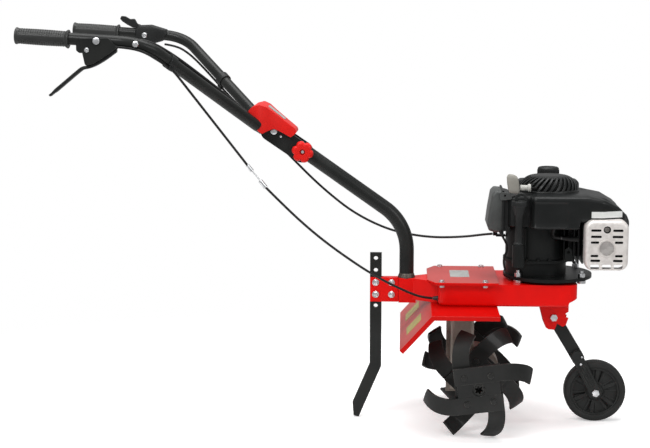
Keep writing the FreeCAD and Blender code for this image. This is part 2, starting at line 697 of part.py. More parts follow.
def engine_base():
    """Crankcase and flywheel on the mounting flange, the pad under it and the oil filler's boss."""
    pad = upright(ENGINE_X, 0, 62.0, CASE_TOP_Z, ENGINE_SEAT_Z)
    flange = upright(ENGINE_X, 0, ENGINE_FLANGE_R, ENGINE_SEAT_Z, ENGINE_SEAT_Z + ENGINE_FLANGE_T)
    crankcase = box(CRANKCASE_REAR_X, CRANKCASE_FRONT_X, -CRANKCASE_WIDTH / 2, CRANKCASE_WIDTH / 2,
                    ENGINE_SEAT_Z + ENGINE_FLANGE_T, SHROUD_BOTTOM_Z)
    crankcase = round_edges(crankcase, CRANKCASE_CORNER_R, is_vertical)
    boss = upright(OIL_X, OIL_Y, 13.0, OIL_FOOT_Z - 46, OIL_FOOT_Z)
    arm = box(OIL_X - 8, OIL_X + 8, OIL_Y, -20, OIL_FOOT_Z - 46, OIL_FOOT_Z - 14)
    flywheel = upright(DOME_X, 0, FLYWHEEL_R, SHROUD_BOTTOM_Z - 1, SHROUD_TOP_Z - SHROUD_T)
    body = fuse([pad, flange, crankcase, boss, arm, flywheel])
    for x, y in engine_bolt_places():
        body = body.cut(upright(x, y, 4.1, ENGINE_SEAT_Z - 20, ENGINE_SEAT_Z + 20))
    return body


def engine_bolts():
    bolts = []
    for x, y in engine_bolt_places():
        top = ENGINE_SEAT_Z + ENGINE_FLANGE_T
        shank = upright(x, y, 4.0, CASE_TOP_Z, top + 14)
        spacer = upright(x, y, 9.0, CASE_TOP_Z, ENGINE_SEAT_Z)
        nut = hexagon_z(x, y, 7.5, top, top + 8)
        bolts.append(fuse([shank, spacer, nut]))
    return Part.makeCompound(bolts)


def cylinder_block():
    """Finned cylinder, lying forward from the crankcase."""
    core = box(CRANKCASE_FRONT_X, FIN_FRONT_X - 2, -38, 38, FIN_BOTTOM_Z + 12, SHROUD_BOTTOM_Z - 4)
    count = int((FIN_FRONT_X - CRANKCASE_FRONT_X) / FIN_PITCH)
    fins = []
    for i in range(count):
        x = FIN_FRONT_X - FIN_PITCH * (i + 1)
        fins.append(box(x, x + 3, -FIN_HALF_WIDTH, FIN_HALF_WIDTH - 14, FIN_BOTTOM_Z, SHROUD_BOTTOM_Z + 10))
    return fuse([core] + fins)


def shroud_plan(inset):
    rear = SHROUD_REAR_X + inset
    w = SHROUD_HALF_WIDTH - inset
    front = SHROUD_FRONT_X - inset
    notch = SHROUD_REAR_X + 58 + inset
    return [(rear, -40), (rear + 20, -70 + inset), (notch, -72 + inset), (notch + 3, -w),
            (front - 60, -w), (front - 14, -w + 18), (front, -w + 44), (front, w - 70),
            (front - 30, w - 44), (front - 85, w - 30), (rear + 40, w - 30), (rear + 14, w - 50), (rear, 30)]


def blower_housing():
    """Shroud over the flywheel and the cylinder, hollow below."""
    plan = plan_profile(shroud_plan(0), SHROUD_BOTTOM_Z, SHROUD_TOP_Z + 10)
    front = SHROUD_FRONT_X
    side = side_profile([(330, SHROUD_BOTTOM_Z), (330, SHROUD_TOP_Z - 14), (360, SHROUD_TOP_Z - 2),
                         (400, SHROUD_TOP_Z), (520, SHROUD_TOP_Z), (560, SHROUD_TOP_Z - 7),
                         (front - 22, SHROUD_TOP_Z - 24), (front - 6, SHROUD_TOP_Z - 38), (front, 448.0),
                         (front, SHROUD_BOTTOM_Z), (front - 8, SHROUD_BOTTOM_Z), (front - 12, 456.0),
                         (512, 456.0), (504, 446.0), (502, SHROUD_BOTTOM_Z)], -120, 120)
    hollow_plan = plan_profile(shroud_plan(SHROUD_T), SHROUD_BOTTOM_Z - 1, SHROUD_TOP_Z)
    inside = [(320, SHROUD_BOTTOM_Z - 2), (320, SHROUD_TOP_Z - 17), (360, SHROUD_TOP_Z - 2 - SHROUD_T),
              (400, SHROUD_TOP_Z - SHROUD_T), (520, SHROUD_TOP_Z - SHROUD_T), (560, SHROUD_TOP_Z - 10),
              (front - 24, SHROUD_TOP_Z - 27), (front - 9, SHROUD_TOP_Z - 40),
              (front - 3, 440.0), (front - 3, SHROUD_BOTTOM_Z - 2)]
    hollow_side = side_profile(inside, -120, 120)
    return plan.common(side).cut(hollow_plan.common(hollow_side))


def starter_dome():
    base = upright(DOME_X, 0, DOME_R, SHROUD_TOP_Z, SHROUD_TOP_Z + 8)
    cone = Part.makeCone(DOME_R, DOME_R - 22, DOME_TOP_Z - SHROUD_TOP_Z - 12, V(DOME_X, 0, SHROUD_TOP_Z + 8))
    crown = upright(DOME_X, 0, DOME_R - 26, DOME_TOP_Z - 4, DOME_TOP_Z)
    return fuse([base, cone, crown])


def fuel_tank():
    tank = box(TANK_REAR_X, TANK_REAR_X + TANK_LENGTH, TANK_INNER_Y, TANK_INNER_Y + TANK_WIDTH,
               TANK_BOTTOM_Z, TANK_TOP_Z)
    tank = round_edges(tank, 16.0, is_vertical)
    tank = round_edges(tank, 10.0, lambda e: e.BoundBox.ZMin > TANK_TOP_Z - 0.1)
    neck = upright(TANK_CAP_X, TANK_CAP_Y, 17.0, TANK_TOP_Z - 4, TANK_TOP_Z + 8)
    return fuse([tank, neck])


def fuel_cap():
    return upright(TANK_CAP_X, TANK_CAP_Y, FUEL_CAP_R, TANK_TOP_Z + 8, TANK_TOP_Z + 8 + FUEL_CAP_HEIGHT)


def air_cleaner_cover():
    front = AIR_COVER_REAR_X + AIR_COVER_DEPTH
    cover = box(AIR_COVER_REAR_X, front, -62, 30, AIR_COVER_BOTTOM_Z, AIR_COVER_TOP_Z)
    cover = round_edges(cover, 8.0, lambda e: e.BoundBox.XMax < AIR_COVER_REAR_X + 0.1)
    neck = box(front - 2, SHROUD_REAR_X, -30, 20, AIR_COVER_BOTTOM_Z + 22, AIR_COVER_BOTTOM_Z + 62)
    return fuse([cover, neck])


def oil_filler():
    tube = upright(OIL_X, OIL_Y, 8.0, OIL_FOOT_Z, OIL_TOP_Z)
    cap = upright(OIL_X, OIL_Y, 17.0, OIL_TOP_Z, OIL_TOP_Z + 12)
    ear = box(OIL_X - 16, OIL_X + 16, OIL_Y - 4, OIL_Y + 4, OIL_TOP_Z + 12, OIL_TOP_Z + 24)
    return fuse([tube, cap, ear])


def rope_guide():
    barrel = cylinder(V(GUIDE_REAR_X, GUIDE_Y, GUIDE_Z), X_AXIS, 6.5, 22.0)
    foot = box(GUIDE_REAR_X + 16.5, GUIDE_REAR_X + 21.5, GUIDE_Y - 5, GUIDE_Y + 5, SHROUD_TOP_Z, GUIDE_Z)
    return fuse([barrel, foot])


def starter_grip():
    """Pull handle parked against the rope guide."""
    front = GUIDE_REAR_X - 0.5
    handle = box(front - 25, front, GUIDE_Y - 9, GUIDE_Y + 9, GUIDE_Z - 11, GUIDE_Z + 28)
    return round_edges(handle, 5.0, lambda e: True)


def muffler():
    body = box(MUFFLER_REAR_X, MUFFLER_REAR_X + MUFFLER_LENGTH, MUFFLER_Y, -FIN_HALF_WIDTH,
               MUFFLER_BOTTOM_Z, MUFFLER_BOTTOM_Z + MUFFLER_HEIGHT)
    return round_edges(body, 10.0, lambda e: True)


def muffler_guard():
    """Open-backed tray over the muffler, with its air slots, held by one tab at the rear."""
    gap, t = MUFFLER_GUARD_GAP, MUFFLER_GUARD_T
    x0, x1 = MUFFLER_REAR_X - gap, MUFFLER_REAR_X + MUFFLER_LENGTH + gap
    z0, z1 = MUFFLER_BOTTOM_Z - gap, MUFFLER_BOTTOM_Z + MUFFLER_HEIGHT + gap
    y = MUFFLER_Y - gap
    outer = box(x0, x1, y, y + 36, z0, z1)
    outer = round_edges(outer, 14.0, runs_across)
    inner = box(x0 + t, x1 - t, y + t, y + 40, z0 + t, z1 - t)
    inner = round_edges(inner, 12.0, runs_across)
    middle = (x0 + x1) / 2
    openings = [cross_pin(middle, z1 - 18, 7.0, y - 5, y + 10)]
    for drop in (20, 32, 43, 71, 82):
        for x in (middle - 27, middle + 27):
            openings.append(box(x - 10.5, x + 10.5, y - 5, y + 10, z1 - drop - 2, z1 - drop + 2))
    for x in (middle - 26, middle, middle + 26):
        openings.append(box(x - 9, x + 9, y - 5, y + 10, z0 + 5, z0 + 12))
    tab = box(x0 + 1, x0 + 7, y + 34, -FIN_HALF_WIDTH, z0 + 46, z0 + 56)
    return fuse([outer.cut(inner).cut(Part.makeCompound(openings)), tab])


# ---------------------------------------------------------------- handlebar
def handle_route():
    return [V(GRIP_REAR_X + GRIP_END_WALL + 1, -GRIP_Y, GRIP_Z), V(HANDLE_BEND_X, -GRIP_Y, HANDLE_BEND_Z),
            V(HANDLE_END_X, -HANDLE_END_Y, HANDLE_END_Z)]


def handle_core(grow):
    """Round tube and the stretch where it flattens towards the column, on the right side."""
    route = handle_route()
    tube = tube_along(rounded_wire(route, [HANDLE_BEND_R]), HANDLE_R + grow)
    round_end = Part.Wire(Part.makeCircle(HANDLE_R + grow, route[2], route[2] - route[1]))
    slope = math.radians(MAST_SLOPE_DEG)
    x, z = on_mast(FLAT_START_ALONG, 5.0)
    middle = V(x, -(PLATE_INNER_Y + PLATE_OUTER_Y) / 2, z)
    long_way = V(math.sin(slope), 0, math.cos(slope)) * (END_PLATE_R - 3 + grow)
    flat_end = Part.Ellipse(middle + long_way, middle + Y_AXIS * (END_PLATE_T / 2 + grow), middle)
    neck = Part.makeLoft([round_end, Part.Wire(flat_end.toShape())], True)
    return fuse([tube, neck])


def handle_tube(side):
    """Grip tube with a flat end plate beside the column, slotted for the clamp stud."""
    rear_x, rear_z = on_mast(FLAT_START_ALONG - 14.0, 5.0)
    plate = link_plate(rear_x, rear_z, END_PLATE_R, KNOB_X - 2, KNOB_Z - 3, END_PLATE_R,
                       -PLATE_OUTER_Y, -PLATE_INNER_Y)
    body = fuse([handle_core(0.0), plate])
    body = body.cut(cross_pin(PIVOT_X, PIVOT_Z, PIVOT_R + RUN_FIT, -60, 0))
    body = body.cut(cross_pin(CLUTCH_BOLT_X, CLUTCH_BOLT_Z, 3.6, -GRIP_Y - 20, -GRIP_Y + 20))
    return sided(body.cut(clamp_slot()), side)


def clamp_slot():
    """Arc slot about the pivot, as long as the tilt needs."""
    radius = PIVOT_ALONG - KNOB_ALONG
    width = STUD_R + 0.5
    y0, y1 = -60.0, 0.0
    ring = cross_pin(PIVOT_X, PIVOT_Z, radius + width, y0, y1).cut(
        cross_pin(PIVOT_X, PIVOT_Z, radius - width, y0 - 1, y1 + 1))
    reach = radius + 20
    fan = [(PIVOT_X, PIVOT_Z)]
    for turn in (-TILT_DEG, TILT_DEG):
        a = math.radians(turn - MAST_SLOPE_DEG)
        fan.append((PIVOT_X + reach * math.cos(a), PIVOT_Z + reach * math.sin(a)))
    ends = []
    for turn in (-TILT_DEG, TILT_DEG):
        a = math.radians(turn - MAST_SLOPE_DEG)
        ends.append(cross_pin(PIVOT_X + radius * math.cos(a), PIVOT_Z + radius * math.sin(a), width, y0, y1))
    return fuse([ring.common(side_profile(fan, y0, y1))] + ends)


def grip(side):
    route = handle_route()
    way = (route[1] - route[0]).normalize()
    start = route[0] - way * GRIP_END_WALL
    body = cylinder(start, way, GRIP_R, GRIP_LENGTH)
    flanges = [cylinder(start, way, GRIP_R + 1.2, 4.0),
               cylinder(start + way * (GRIP_LENGTH - 5), way, GRIP_R + 3.0, 5.0)]
    bore = cylinder(route[0] - way * 0.1, way, HANDLE_R + 0.1, GRIP_LENGTH)
    return sided(fuse([body] + flanges).cut(bore), side)


COVER_OUTLINE = [(-186, 672), (-177, 681), (-162, 685), (-149, 680), (-89, 632), (-86, 625), (-99, 614),
                 (-117, 625), (-134, 635), (-149, 628), (-158, 624), (-167, 632), (-163, 648), (-169, 657)]


def junction_cover():
    """Moulded hood over the column's end, seated on the two handle tubes."""
    outer = side_profile(COVER_OUTLINE, -70, 70)
    plan = plan_profile([(-190, -66), (-160, -62), (-134, -40), (-84, -28),
                         (-84, 28), (-134, 40), (-160, 62), (-190, 66)], 560, 720)
    inner = side_profile([(-195, 600), (-195, 671), (-176, 677), (-162, 681), (-150, 676), (-93, 630),
                          (-93, 600)], -70, 70)
    inner_plan = plan_profile([(-195, -63), (-161, -59), (-135, -37), (-80, -25), (-80, 25), (-135, 37),
                               (-161, 59), (-195, 63)], 560, 720)
    cover = outer.common(plan).cut(inner.common(inner_plan))
    room = handle_core(SEAT_GAP)
    cover = cover.cut(room).cut(mirrored(room))
    for turn in (-TILT_DEG, 0, TILT_DEG):
        a = math.radians(turn - MAST_SLOPE_DEG)
        column = cylinder(V(PIVOT_X, 0, PIVOT_Z), V(math.cos(a), 0, math.sin(a)), MAST_R + COLUMN_GAP, 80)
        cover = cover.cut(column)
    return cover


def clutch_bracket():
    """Two cheek plates that clamp the right tube and carry the clutch lever."""
    outline = [(-492, 829), (-490, 808), (-481, 780), (-466, 784), (-446, 796), (-430, 808), (-421, 820),
               (-421, 829)]
    cheeks = []
    for y in (-GRIP_Y - HANDLE_R - 3.5, -GRIP_Y + HANDLE_R + 0.5):
        cheek = side_profile(outline, y, y + 3.0)
        cheek = cheek.cut(cross_pin(CLUTCH_BOLT_X, CLUTCH_BOLT_Z, 3.6, y - 1, y + 4))
        cheeks.append(cheek.cut(cross_pin(LEVER_PIN_X, LEVER_PIN_Z, 2.6, y - 1, y + 4)))
    return Part.makeCompound(cheeks)


def clutch_lever():
    """Bent lever strip under the cheeks, with its ear on the pivot."""
    under = [(-420, 799), (-432, 792), (-448, 782), (-466, 773), (-481, 769), (-490, 768), (-555, 713)]
    over = [(-559, 717), (-494, 775), (-483, 776), (-468, 780), (-450, 789), (-436, 799), (-424, 807)]
    strip = side_profile(under + over, -GRIP_Y - 10, -GRIP_Y + 10)
    ear = side_profile([(-484, 774), (-486, 812), (-470, 812), (-462, 781)], -GRIP_Y - 5, -GRIP_Y + 5)
    return fuse([strip, ear]).cut(cross_pin(LEVER_PIN_X, LEVER_PIN_Z, 2.6, -GRIP_Y - 20, -GRIP_Y + 20))


def handle_bolts():
    y0, y1 = -GRIP_Y - HANDLE_R - 3.5, -GRIP_Y + HANDLE_R + 3.5
    return Part.makeCompound([bolt_y(CLUTCH_BOLT_X, CLUTCH_BOLT_Z, 3.5, 7.5, 4.0, y0, y1),
                              bolt_y(LEVER_PIN_X, LEVER_PIN_Z, 2.5, 4.5, 3.0, y0, y1)])


def throttle_housing():
    outline = [(-478, 832), (-470, 844), (-440, 845), (-404, 834), (-402, 822), (-416, 806), (-440, 800),
               (-462, 806), (-478, 812)]
    shell = side_profile(outline, GRIP_Y - 16, GRIP_Y + 16)
    way = (mirrored_point(handle_route()[1]) - mirrored_point(handle_route()[0])).normalize()
    bore = cylinder(mirrored_point(handle_route()[0]), way, HANDLE_R + 0.1, 300)
    return shell.cut(bore).cut(tube_along(rounded_wire([mirrored_point(p) for p in handle_route()],
                                                      [HANDLE_BEND_R]), HANDLE_R + 0.1))


def mirrored_point(p):
    return V(p.x, -p.y, p.z)


def throttle_lever():
    outline = [(-458, 845), (-474, 848), (-482, 852), (-478, 862), (-500, 864), (-512, 866), (-513, 860),
               (-500, 852), (-484, 842), (-470, 838), (-458, 838)]
    return side_profile(outline, GRIP_Y - 5, GRIP_Y + 5).cut(throttle_housing())


def tube_clip(along, cable_at, cable_r):
    """Snap clip round the right handle tube, with a jaw round the cable at cable_at."""
    start, end = handle_route()[1], handle_route()[2]
    way = (end - start).normalize()
    middle = start + (end - start) * along
    jaw_at = cable_at + way * (middle - cable_at).dot(way)
    ring = cylinder(middle - way * 8, way, HANDLE_R + 3, 16)
    jaw = cylinder(jaw_at - way * 6, way, cable_r + 2.2, 12)
    clip = fuse([ring, jaw]).cut(cylinder(middle - way * 9, way, HANDLE_R + 0.15, 18))
    return clip.cut(cylinder(jaw_at - way * 9, way, cable_r + 1.0, 18))


def cable_clips():
    right = tube_clip(0.215, V(*CLUTCH_UPPER[4]), CABLE_R)
    left = mirrored(tube_clip(0.52, mirrored_point(V(*THROTTLE_CABLE[5])), CABLE_R))
    return Part.makeCompound([right, left])


def cable_adjuster():
    """Screwed barrel between the two lengths of clutch cable."""
    start, end = V(*CLUTCH_UPPER[-1]), V(*CLUTCH_LOWER[0])
    way = (end - start).normalize()
    length = (end - start).Length
    seat = way * SEAT_GAP
    barrels = [cylinder(start + seat, way, 4.0, 16.0), cylinder(end - seat - way * 18, way, 4.5, 18.0)]
    return fuse(barrels + [cylinder(start + seat, way, 1.6, length - 2 * SEAT_GAP)])


def cable_boot():
    """Rubber boot where the clutch cable enters the belt case."""
    start = V(*CLUTCH_LOWER[-1]) + X_AXIS * CABLE_END_GAP
    return Part.makeCone(CABLE_R + 1.2, CABLE_R + 3.0, CASE_REAR_X - start.x, start, X_AXIS)


def throttle_bracket():
    """Small plate behind the crankcase that stops the throttle cable's sheath."""
    start = V(*THROTTLE_CABLE[-1]) + X_AXIS * CABLE_END_GAP
    arm = box(start.x + 6, CRANKCASE_REAR_X, 4, 22, start.z - 5, start.z - 1)
    plate = box(start.x + 6, start.x + 9, 4, 22, start.z - 5, start.z + 8)
    ferrule = cylinder(start, X_AXIS, 4.0, 8.0)
    return fuse([arm, plate, ferrule])


# ---------------------------------------------------------------- cables
CLUTCH_UPPER = [(-421, -271.5, 812), (-394, -271, 810), (-366, -265.5, 802), (-341, -245, 784),
                (-318, -222.5, 765), (-302, -214, 743), (-177, -170, 571)]
CLUTCH_LOWER = [(-140, -162, 524), (-104, -153, 486), (-64, -142, 446), (-20, -130, 407), (26, -116, 371),
                (70, -102, 339), (114, -88, 312), (156, -73, 290), (182, -64, 279.5), (203, -62, 277.5)]
THROTTLE_CABLE = [(-411, 260, 800), (-384, 259, 796), (-358, 248, 783), (-332, 224, 764),
                  (-303, 195, 739), (-274, 163.5, 713), (-243, 132, 685), (-205, 108, 652),
                  (-166, 85, 620), (-128, 62, 586), (-90, 42, 551), (-54, 38, 516), (-18, 38, 484),
                  (24, 38, 451), (70, 37, 425), (118, 36, 406), (164, 34, 397), (206, 32, 393),
                  (246, 28, 394), (284, 20, 398), (312, 14, 403), (332, 12, 405)]
LOOM_CABLE = [(-421, -240.5, 823), (-392, -240, 825), (-359, -236, 821), (-320, -202, 794),
              (-280, -160, 758), (-242, -117, 722), (-211, -82, 690), (-188, -53, 667), (-172, -37, 658)]

PIECES = {
    "chassis_box": chassis_box, "chassis_neck": chassis_neck, "belt_cover_plate": belt_cover_plate,
    "cover_bolts": cover_bolts, "rear_bracket": rear_bracket, "bracket_bolts": bracket_bolts,
    "drag_stake": drag_stake, "column_tube": column_tube, "handle_pivot_bolt": handle_pivot_bolt,
    "star_knob": star_knob, "tine_guard": tine_guard, "gearbox_right": lambda: gearbox_half(RIGHT),
    "gearbox_left": lambda: gearbox_half(LEFT), "gearbox_bolts": gearbox_bolts,
    "wheel_bracket": wheel_bracket, "arm_pivot_bolt": arm_pivot_bolt, "wheel_arm": wheel_arm,
    "wheel_fork": wheel_fork, "wheel_bolts": wheel_bolts, "wheel_tyre": wheel_tyre, "wheel_rim": wheel_rim,
    "tine_shaft": tine_shaft, "engine_base": engine_base, "engine_bolts": engine_bolts,
    "cylinder_block": cylinder_block, "blower_housing": blower_housing, "starter_dome": starter_dome,
    "fuel_tank": fuel_tank, "fuel_cap": fuel_cap, "air_cleaner_cover": air_cleaner_cover,
    "oil_filler": oil_filler, "rope_guide": rope_guide, "starter_grip": starter_grip, "muffler": muffler,
    "muffler_guard": muffler_guard, "handle_tube_right": lambda: handle_tube(RIGHT),
    "handle_tube_left": lambda: handle_tube(LEFT), "grip_right": lambda: grip(RIGHT),
    "grip_left": lambda: grip(LEFT), "junction_cover": junction_cover, "clutch_bracket": clutch_bracket,
    "clutch_lever": clutch_lever, "handle_bolts": handle_bolts, "throttle_housing": throttle_housing,
    "throttle_lever": throttle_lever, "cable_clips": cable_clips,
    "cable_adjuster": cable_adjuster, "cable_boot": cable_boot, "throttle_bracket": throttle_bracket,
    "clutch_cable_upper": lambda: cord("clutch_cable_upper", CLUTCH_UPPER, CABLE_R),
    "clutch_cable_lower": lambda: cord("clutch_cable_lower", CLUTCH_LOWER, CABLE_R),
    "loom_cable": lambda: cord("loom_cable", LOOM_CABLE, LOOM_R),
    "throttle_cable": lambda: cord("throttle_cable", THROTTLE_CABLE, CABLE_R),
}
INWARD, OUTWARD = 1, -1
STARS = {
    "tine_star_outer": (STAR_OUTER_Y, OUTER_PHASE_DEG, (INWARD, INWARD, INWARD, INWARD)),
    "tine_star_inner": (STAR_INNER_Y, INNER_PHASE_DEG, (INWARD, INWARD, OUTWARD, INWARD)),
}


def main():
    os.makedirs(OUT, exist_ok=True)
    for name, make in PIECES.items():
        save(name, make())
    for name, (plane, phase, bends) in STARS.items():
        star = tine_star(-plane, phase, bends)
        save(f"{name}_right", star)
        save(f"{name}_left", mirrored(star))


def save(name, shape):
    if not shape.isValid():
        print(f"{name} is not valid")
    if len(shape.Solids) == 0:
        print(f"{name} has no solid")
    box_of = shape.BoundBox
    print(f"{name}: {len(shape.Solids)} solid(s), {shape.Volume / 1000:.1f} cm3, "
          f"x {box_of.XMin:.1f}..{box_of.XMax:.1f} y {box_of.YMin:.1f}..{box_of.YMax:.1f} "
          f"z {box_of.ZMin:.1f}..{box_of.ZMax:.1f}")
    shape.exportStep(os.path.join(OUT, f"{name}.step"))


main()
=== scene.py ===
import json
import math

import bmesh
import bpy
from mathutils import Matrix, Vector


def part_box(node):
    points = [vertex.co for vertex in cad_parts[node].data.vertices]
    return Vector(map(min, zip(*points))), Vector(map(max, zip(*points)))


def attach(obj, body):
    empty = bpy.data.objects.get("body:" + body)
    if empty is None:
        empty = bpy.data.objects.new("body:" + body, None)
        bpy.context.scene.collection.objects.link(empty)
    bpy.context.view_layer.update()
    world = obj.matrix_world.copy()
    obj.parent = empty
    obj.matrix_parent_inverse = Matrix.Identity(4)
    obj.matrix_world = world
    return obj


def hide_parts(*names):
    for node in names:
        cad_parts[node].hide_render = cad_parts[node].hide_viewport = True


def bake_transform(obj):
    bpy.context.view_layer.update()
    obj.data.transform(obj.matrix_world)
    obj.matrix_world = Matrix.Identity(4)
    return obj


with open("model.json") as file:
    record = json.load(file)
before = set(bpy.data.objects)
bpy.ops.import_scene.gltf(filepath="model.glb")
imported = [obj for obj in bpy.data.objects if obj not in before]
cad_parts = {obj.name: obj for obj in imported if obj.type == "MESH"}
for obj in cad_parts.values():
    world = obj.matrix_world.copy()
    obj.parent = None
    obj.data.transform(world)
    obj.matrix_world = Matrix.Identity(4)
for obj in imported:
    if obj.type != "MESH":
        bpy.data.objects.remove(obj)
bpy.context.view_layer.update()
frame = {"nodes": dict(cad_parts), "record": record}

MM = 0.001
X, Y, Z = Vector((1, 0, 0)), Vector((0, 1, 0)), Vector((0, 0, 1))
SIDES = ((-1, "right"), (1, "left"))


# ------------------------------------------------------------ materials
class Signal:
    """A value, colour or vector in a node tree, joined up by ordinary arithmetic."""

    def __init__(self, nodes, socket):
        self.nodes, self.socket = nodes, socket

    def math(self, operation, *others):
        values = dict(enumerate((self,) + others))
        return self.nodes.node("ShaderNodeMath", {"operation": operation}, values)

    def __add__(self, other):
        return self.math("ADD", other)

    def __radd__(self, other):
        return self.math("ADD", other)

    def __sub__(self, other):
        return self.math("SUBTRACT", other)

    def __rsub__(self, other):
        return (self * -1.0) + other

    def __mul__(self, other):
        return self.math("MULTIPLY", other)

    def __rmul__(self, other):
        return self.math("MULTIPLY", other)

    def cut(self, low, high):
        """0 below low and 1 above high, with a soft step between."""
        settings = {"interpolation_type": "SMOOTHSTEP"}
        return self.nodes.node("ShaderNodeMapRange", settings, {0: self, 1: low, 2: high, 3: 0.0, 4: 1.0})

    def fade(self, low, high):
        """low where this is 0 and high where it is 1."""
        return self.nodes.node("ShaderNodeMapRange", {}, {0: self, 1: 0.0, 2: 1.0, 3: low, 4: high})

    def mix(self, a, b):
        """Colour a where this is 0, colour b where it is 1."""
        return self.nodes.node("ShaderNodeMix", {"data_type": "RGBA"}, {0: self, 6: a, 7: b}, 2)

    def part(self, index):
        """One coordinate of a vector."""
        return self.nodes.node("ShaderNodeSeparateXYZ", {}, {0: self}, index)


class Nodes:
    """A node tree that ends in the named shader."""

    def __init__(self, tree, shader):
        self.tree = tree
        self.shader = tree.nodes[shader]

    def give(self, name, value):
        """Sets or joins up one input of the shader."""
        self.put(self.shader.inputs[name], value)

    def put(self, socket, value):
        """Sets a socket's value, or joins a signal to it."""
        if isinstance(value, Signal):
            self.tree.links.new(value.socket, socket)
        elif isinstance(value, (tuple, list)) and socket.type == "RGBA" and len(value) == 3:
            socket.default_value = (*value, 1.0)
        else:
            socket.default_value = value

    def node(self, kind, settings, values, output=0):
        """Adds a node with its settings and inputs, and gives one of its outputs."""
        node = self.tree.nodes.new(kind)
        for key, value in settings.items():
            setattr(node, key, value)
        for key, value in values.items():
            self.put(node.inputs[key], value)
        return Signal(self, node.outputs[output])


class Finish(Nodes):
    """A procedural material; keywords set the inputs of its Principled shader."""

    def __init__(self, name, **shader):
        self.material = bpy.data.materials.new(name)
        self.material.use_nodes = True
        super().__init__(self.material.node_tree, "Principled BSDF")
        for key, value in shader.items():
            self.give(key.replace("_", " "), value)

    def place(self, stretch=(1, 1, 1)):
        """The piece's own coordinates in metres, stretched."""
        here = self.node("ShaderNodeTexCoord", {}, {}, "Object")
        return self.node("ShaderNodeVectorMath", {"operation": "MULTIPLY"}, {0: here, 1: stretch})

    def noise(self, scale, detail=2.0, roughness=0.5):
        """Cloudy noise from 0 to 1; a larger scale makes finer grain."""
        values = {"Vector": self.place(), "Scale": scale, "Detail": detail, "Roughness": roughness}
        return self.node("ShaderNodeTexNoise", {}, values)

    def bump(self, height, distance, strength=0.5):
        """Raises the skin by height, with distance in metres where height is 1."""
        values = {"Height": height, "Distance": distance, "Strength": strength}
        self.give("Normal", self.node("ShaderNodeBump", {}, values))

    def edges(self, radius):
        """1 along sharp edges, 0 on flats."""
        soft = self.node("ShaderNodeBevel", {"samples": 4}, {"Radius": radius})
        hard = self.node("ShaderNodeNewGeometry", {}, {}, "Normal")
        facing = self.node("ShaderNodeVectorMath", {"operation": "DOT_PRODUCT"}, {0: soft, 1: hard}, "Value")
        return (1.0 - facing).cut(0.01, 0.12)


def powder_coat(name, colour, dull, rough, coat, peel=0.00006, worn=None, painted_reflection=None, flat=1.0):
    """Sprayed paint with slight orange peel and cloudy gloss; worn and veil are colours, or nothing.

    worn shows along the edges; the other colour is a painted reflection, a paler red laid on tops that slope
    where the gloss mirrors the bright room, with flat as its share on level tops.
    """
    f = Finish(name, IOR=1.45, Coat_Roughness=0.08, Specular_IOR_Level=0.2)
    cloud = f.noise(14.0, 3.0)
    speck = f.noise(420.0, 2.0)
    shade = cloud.cut(0.3, 0.75).mix(colour, dull)
    # Painted reflection: upward-sloping tops turn paler, standing in for the bright room mirrored in the
    # gloss.
    if painted_reflection:
        upward = f.node("ShaderNodeNewGeometry", {}, {}, "Normal").part(2)
        level = upward.cut(0.8, 0.95).fade(1.0, flat)
        shade = (upward.cut(0.35, 0.6) * level).mix(shade, painted_reflection)
    if worn:
        rub = f.edges(0.0016) * f.noise(60.0, 4.0).cut(0.42, 0.62)
        shade = rub.mix(shade, worn)
        f.give("Metallic", rub * 0.6)
    f.give("Base Color", shade)
    f.give("Roughness", cloud.fade(rough - 0.05, rough + 0.07))
    f.give("Coat Weight", coat)
    f.bump(f.noise(900.0, 1.0) + speck * 0.4, peel)
    return f.material


def plating(name, colour, dull, rough, metal=1.0):
    """Bright plated steel with faint turning marks and handling stains."""
    f = Finish(name, Metallic=metal, IOR=1.8)
    stain = f.noise(90.0, 4.0)
    f.give("Base Color", stain.cut(0.35, 0.7).mix(colour, dull))
    f.give("Roughness", stain.fade(rough - 0.08, rough + 0.14))
    f.bump(f.noise(1400.0, 2.0), 0.00004)
    return f.material


def moulded(name, colour, pale, rough, grain=1500.0, depth=0.00005):
    """Moulded plastic with a fine spark-eroded grain and slightly greyed high spots."""
    f = Finish(name, IOR=1.45, Specular_IOR_Level=0.3)
    cloud = f.noise(25.0, 3.0)
    grained = f.noise(grain, 2.0)
    shade = (cloud * 0.7 + grained * 0.3).cut(0.3, 0.75).mix(colour, pale)
    scuffed = [min(1.0, c * 1.8 + 0.01) for c in pale]
    f.give("Base Color", f.edges(0.0012).mix(shade, scuffed))
    f.give("Roughness", cloud.fade(rough - 0.05, rough + 0.08))
    f.bump(grained, depth)
    return f.material


def cast_metal(name, colour, dull, rough):
    """Cast housing metal: pitted skin and darker hollows."""
    f = Finish(name, Metallic=0.55, IOR=1.5)
    skin = f.noise(260.0, 6.0, roughness=0.65)
    cloud = f.noise(18.0, 4.0)
    f.give("Base Color", (cloud * 0.6 + skin * 0.4).cut(0.32, 0.68).mix(dull, colour))
    f.give("Roughness", skin.fade(rough - 0.1, rough + 0.15))
    f.bump(skin, 0.0003, 0.6)
    return f.material


def sticker(name, colour, pale, rough=0.35):
    """Blank vinyl label with a faint sheen."""
    f = Finish(name, Coat_Weight=0.3, IOR=1.45)
    cloud = f.noise(70.0, 3.0)
    f.give("Base Color", cloud.cut(0.35, 0.7).mix(colour, pale))
    f.give("Roughness", cloud.fade(rough - 0.05, rough + 0.1))
    return f.material


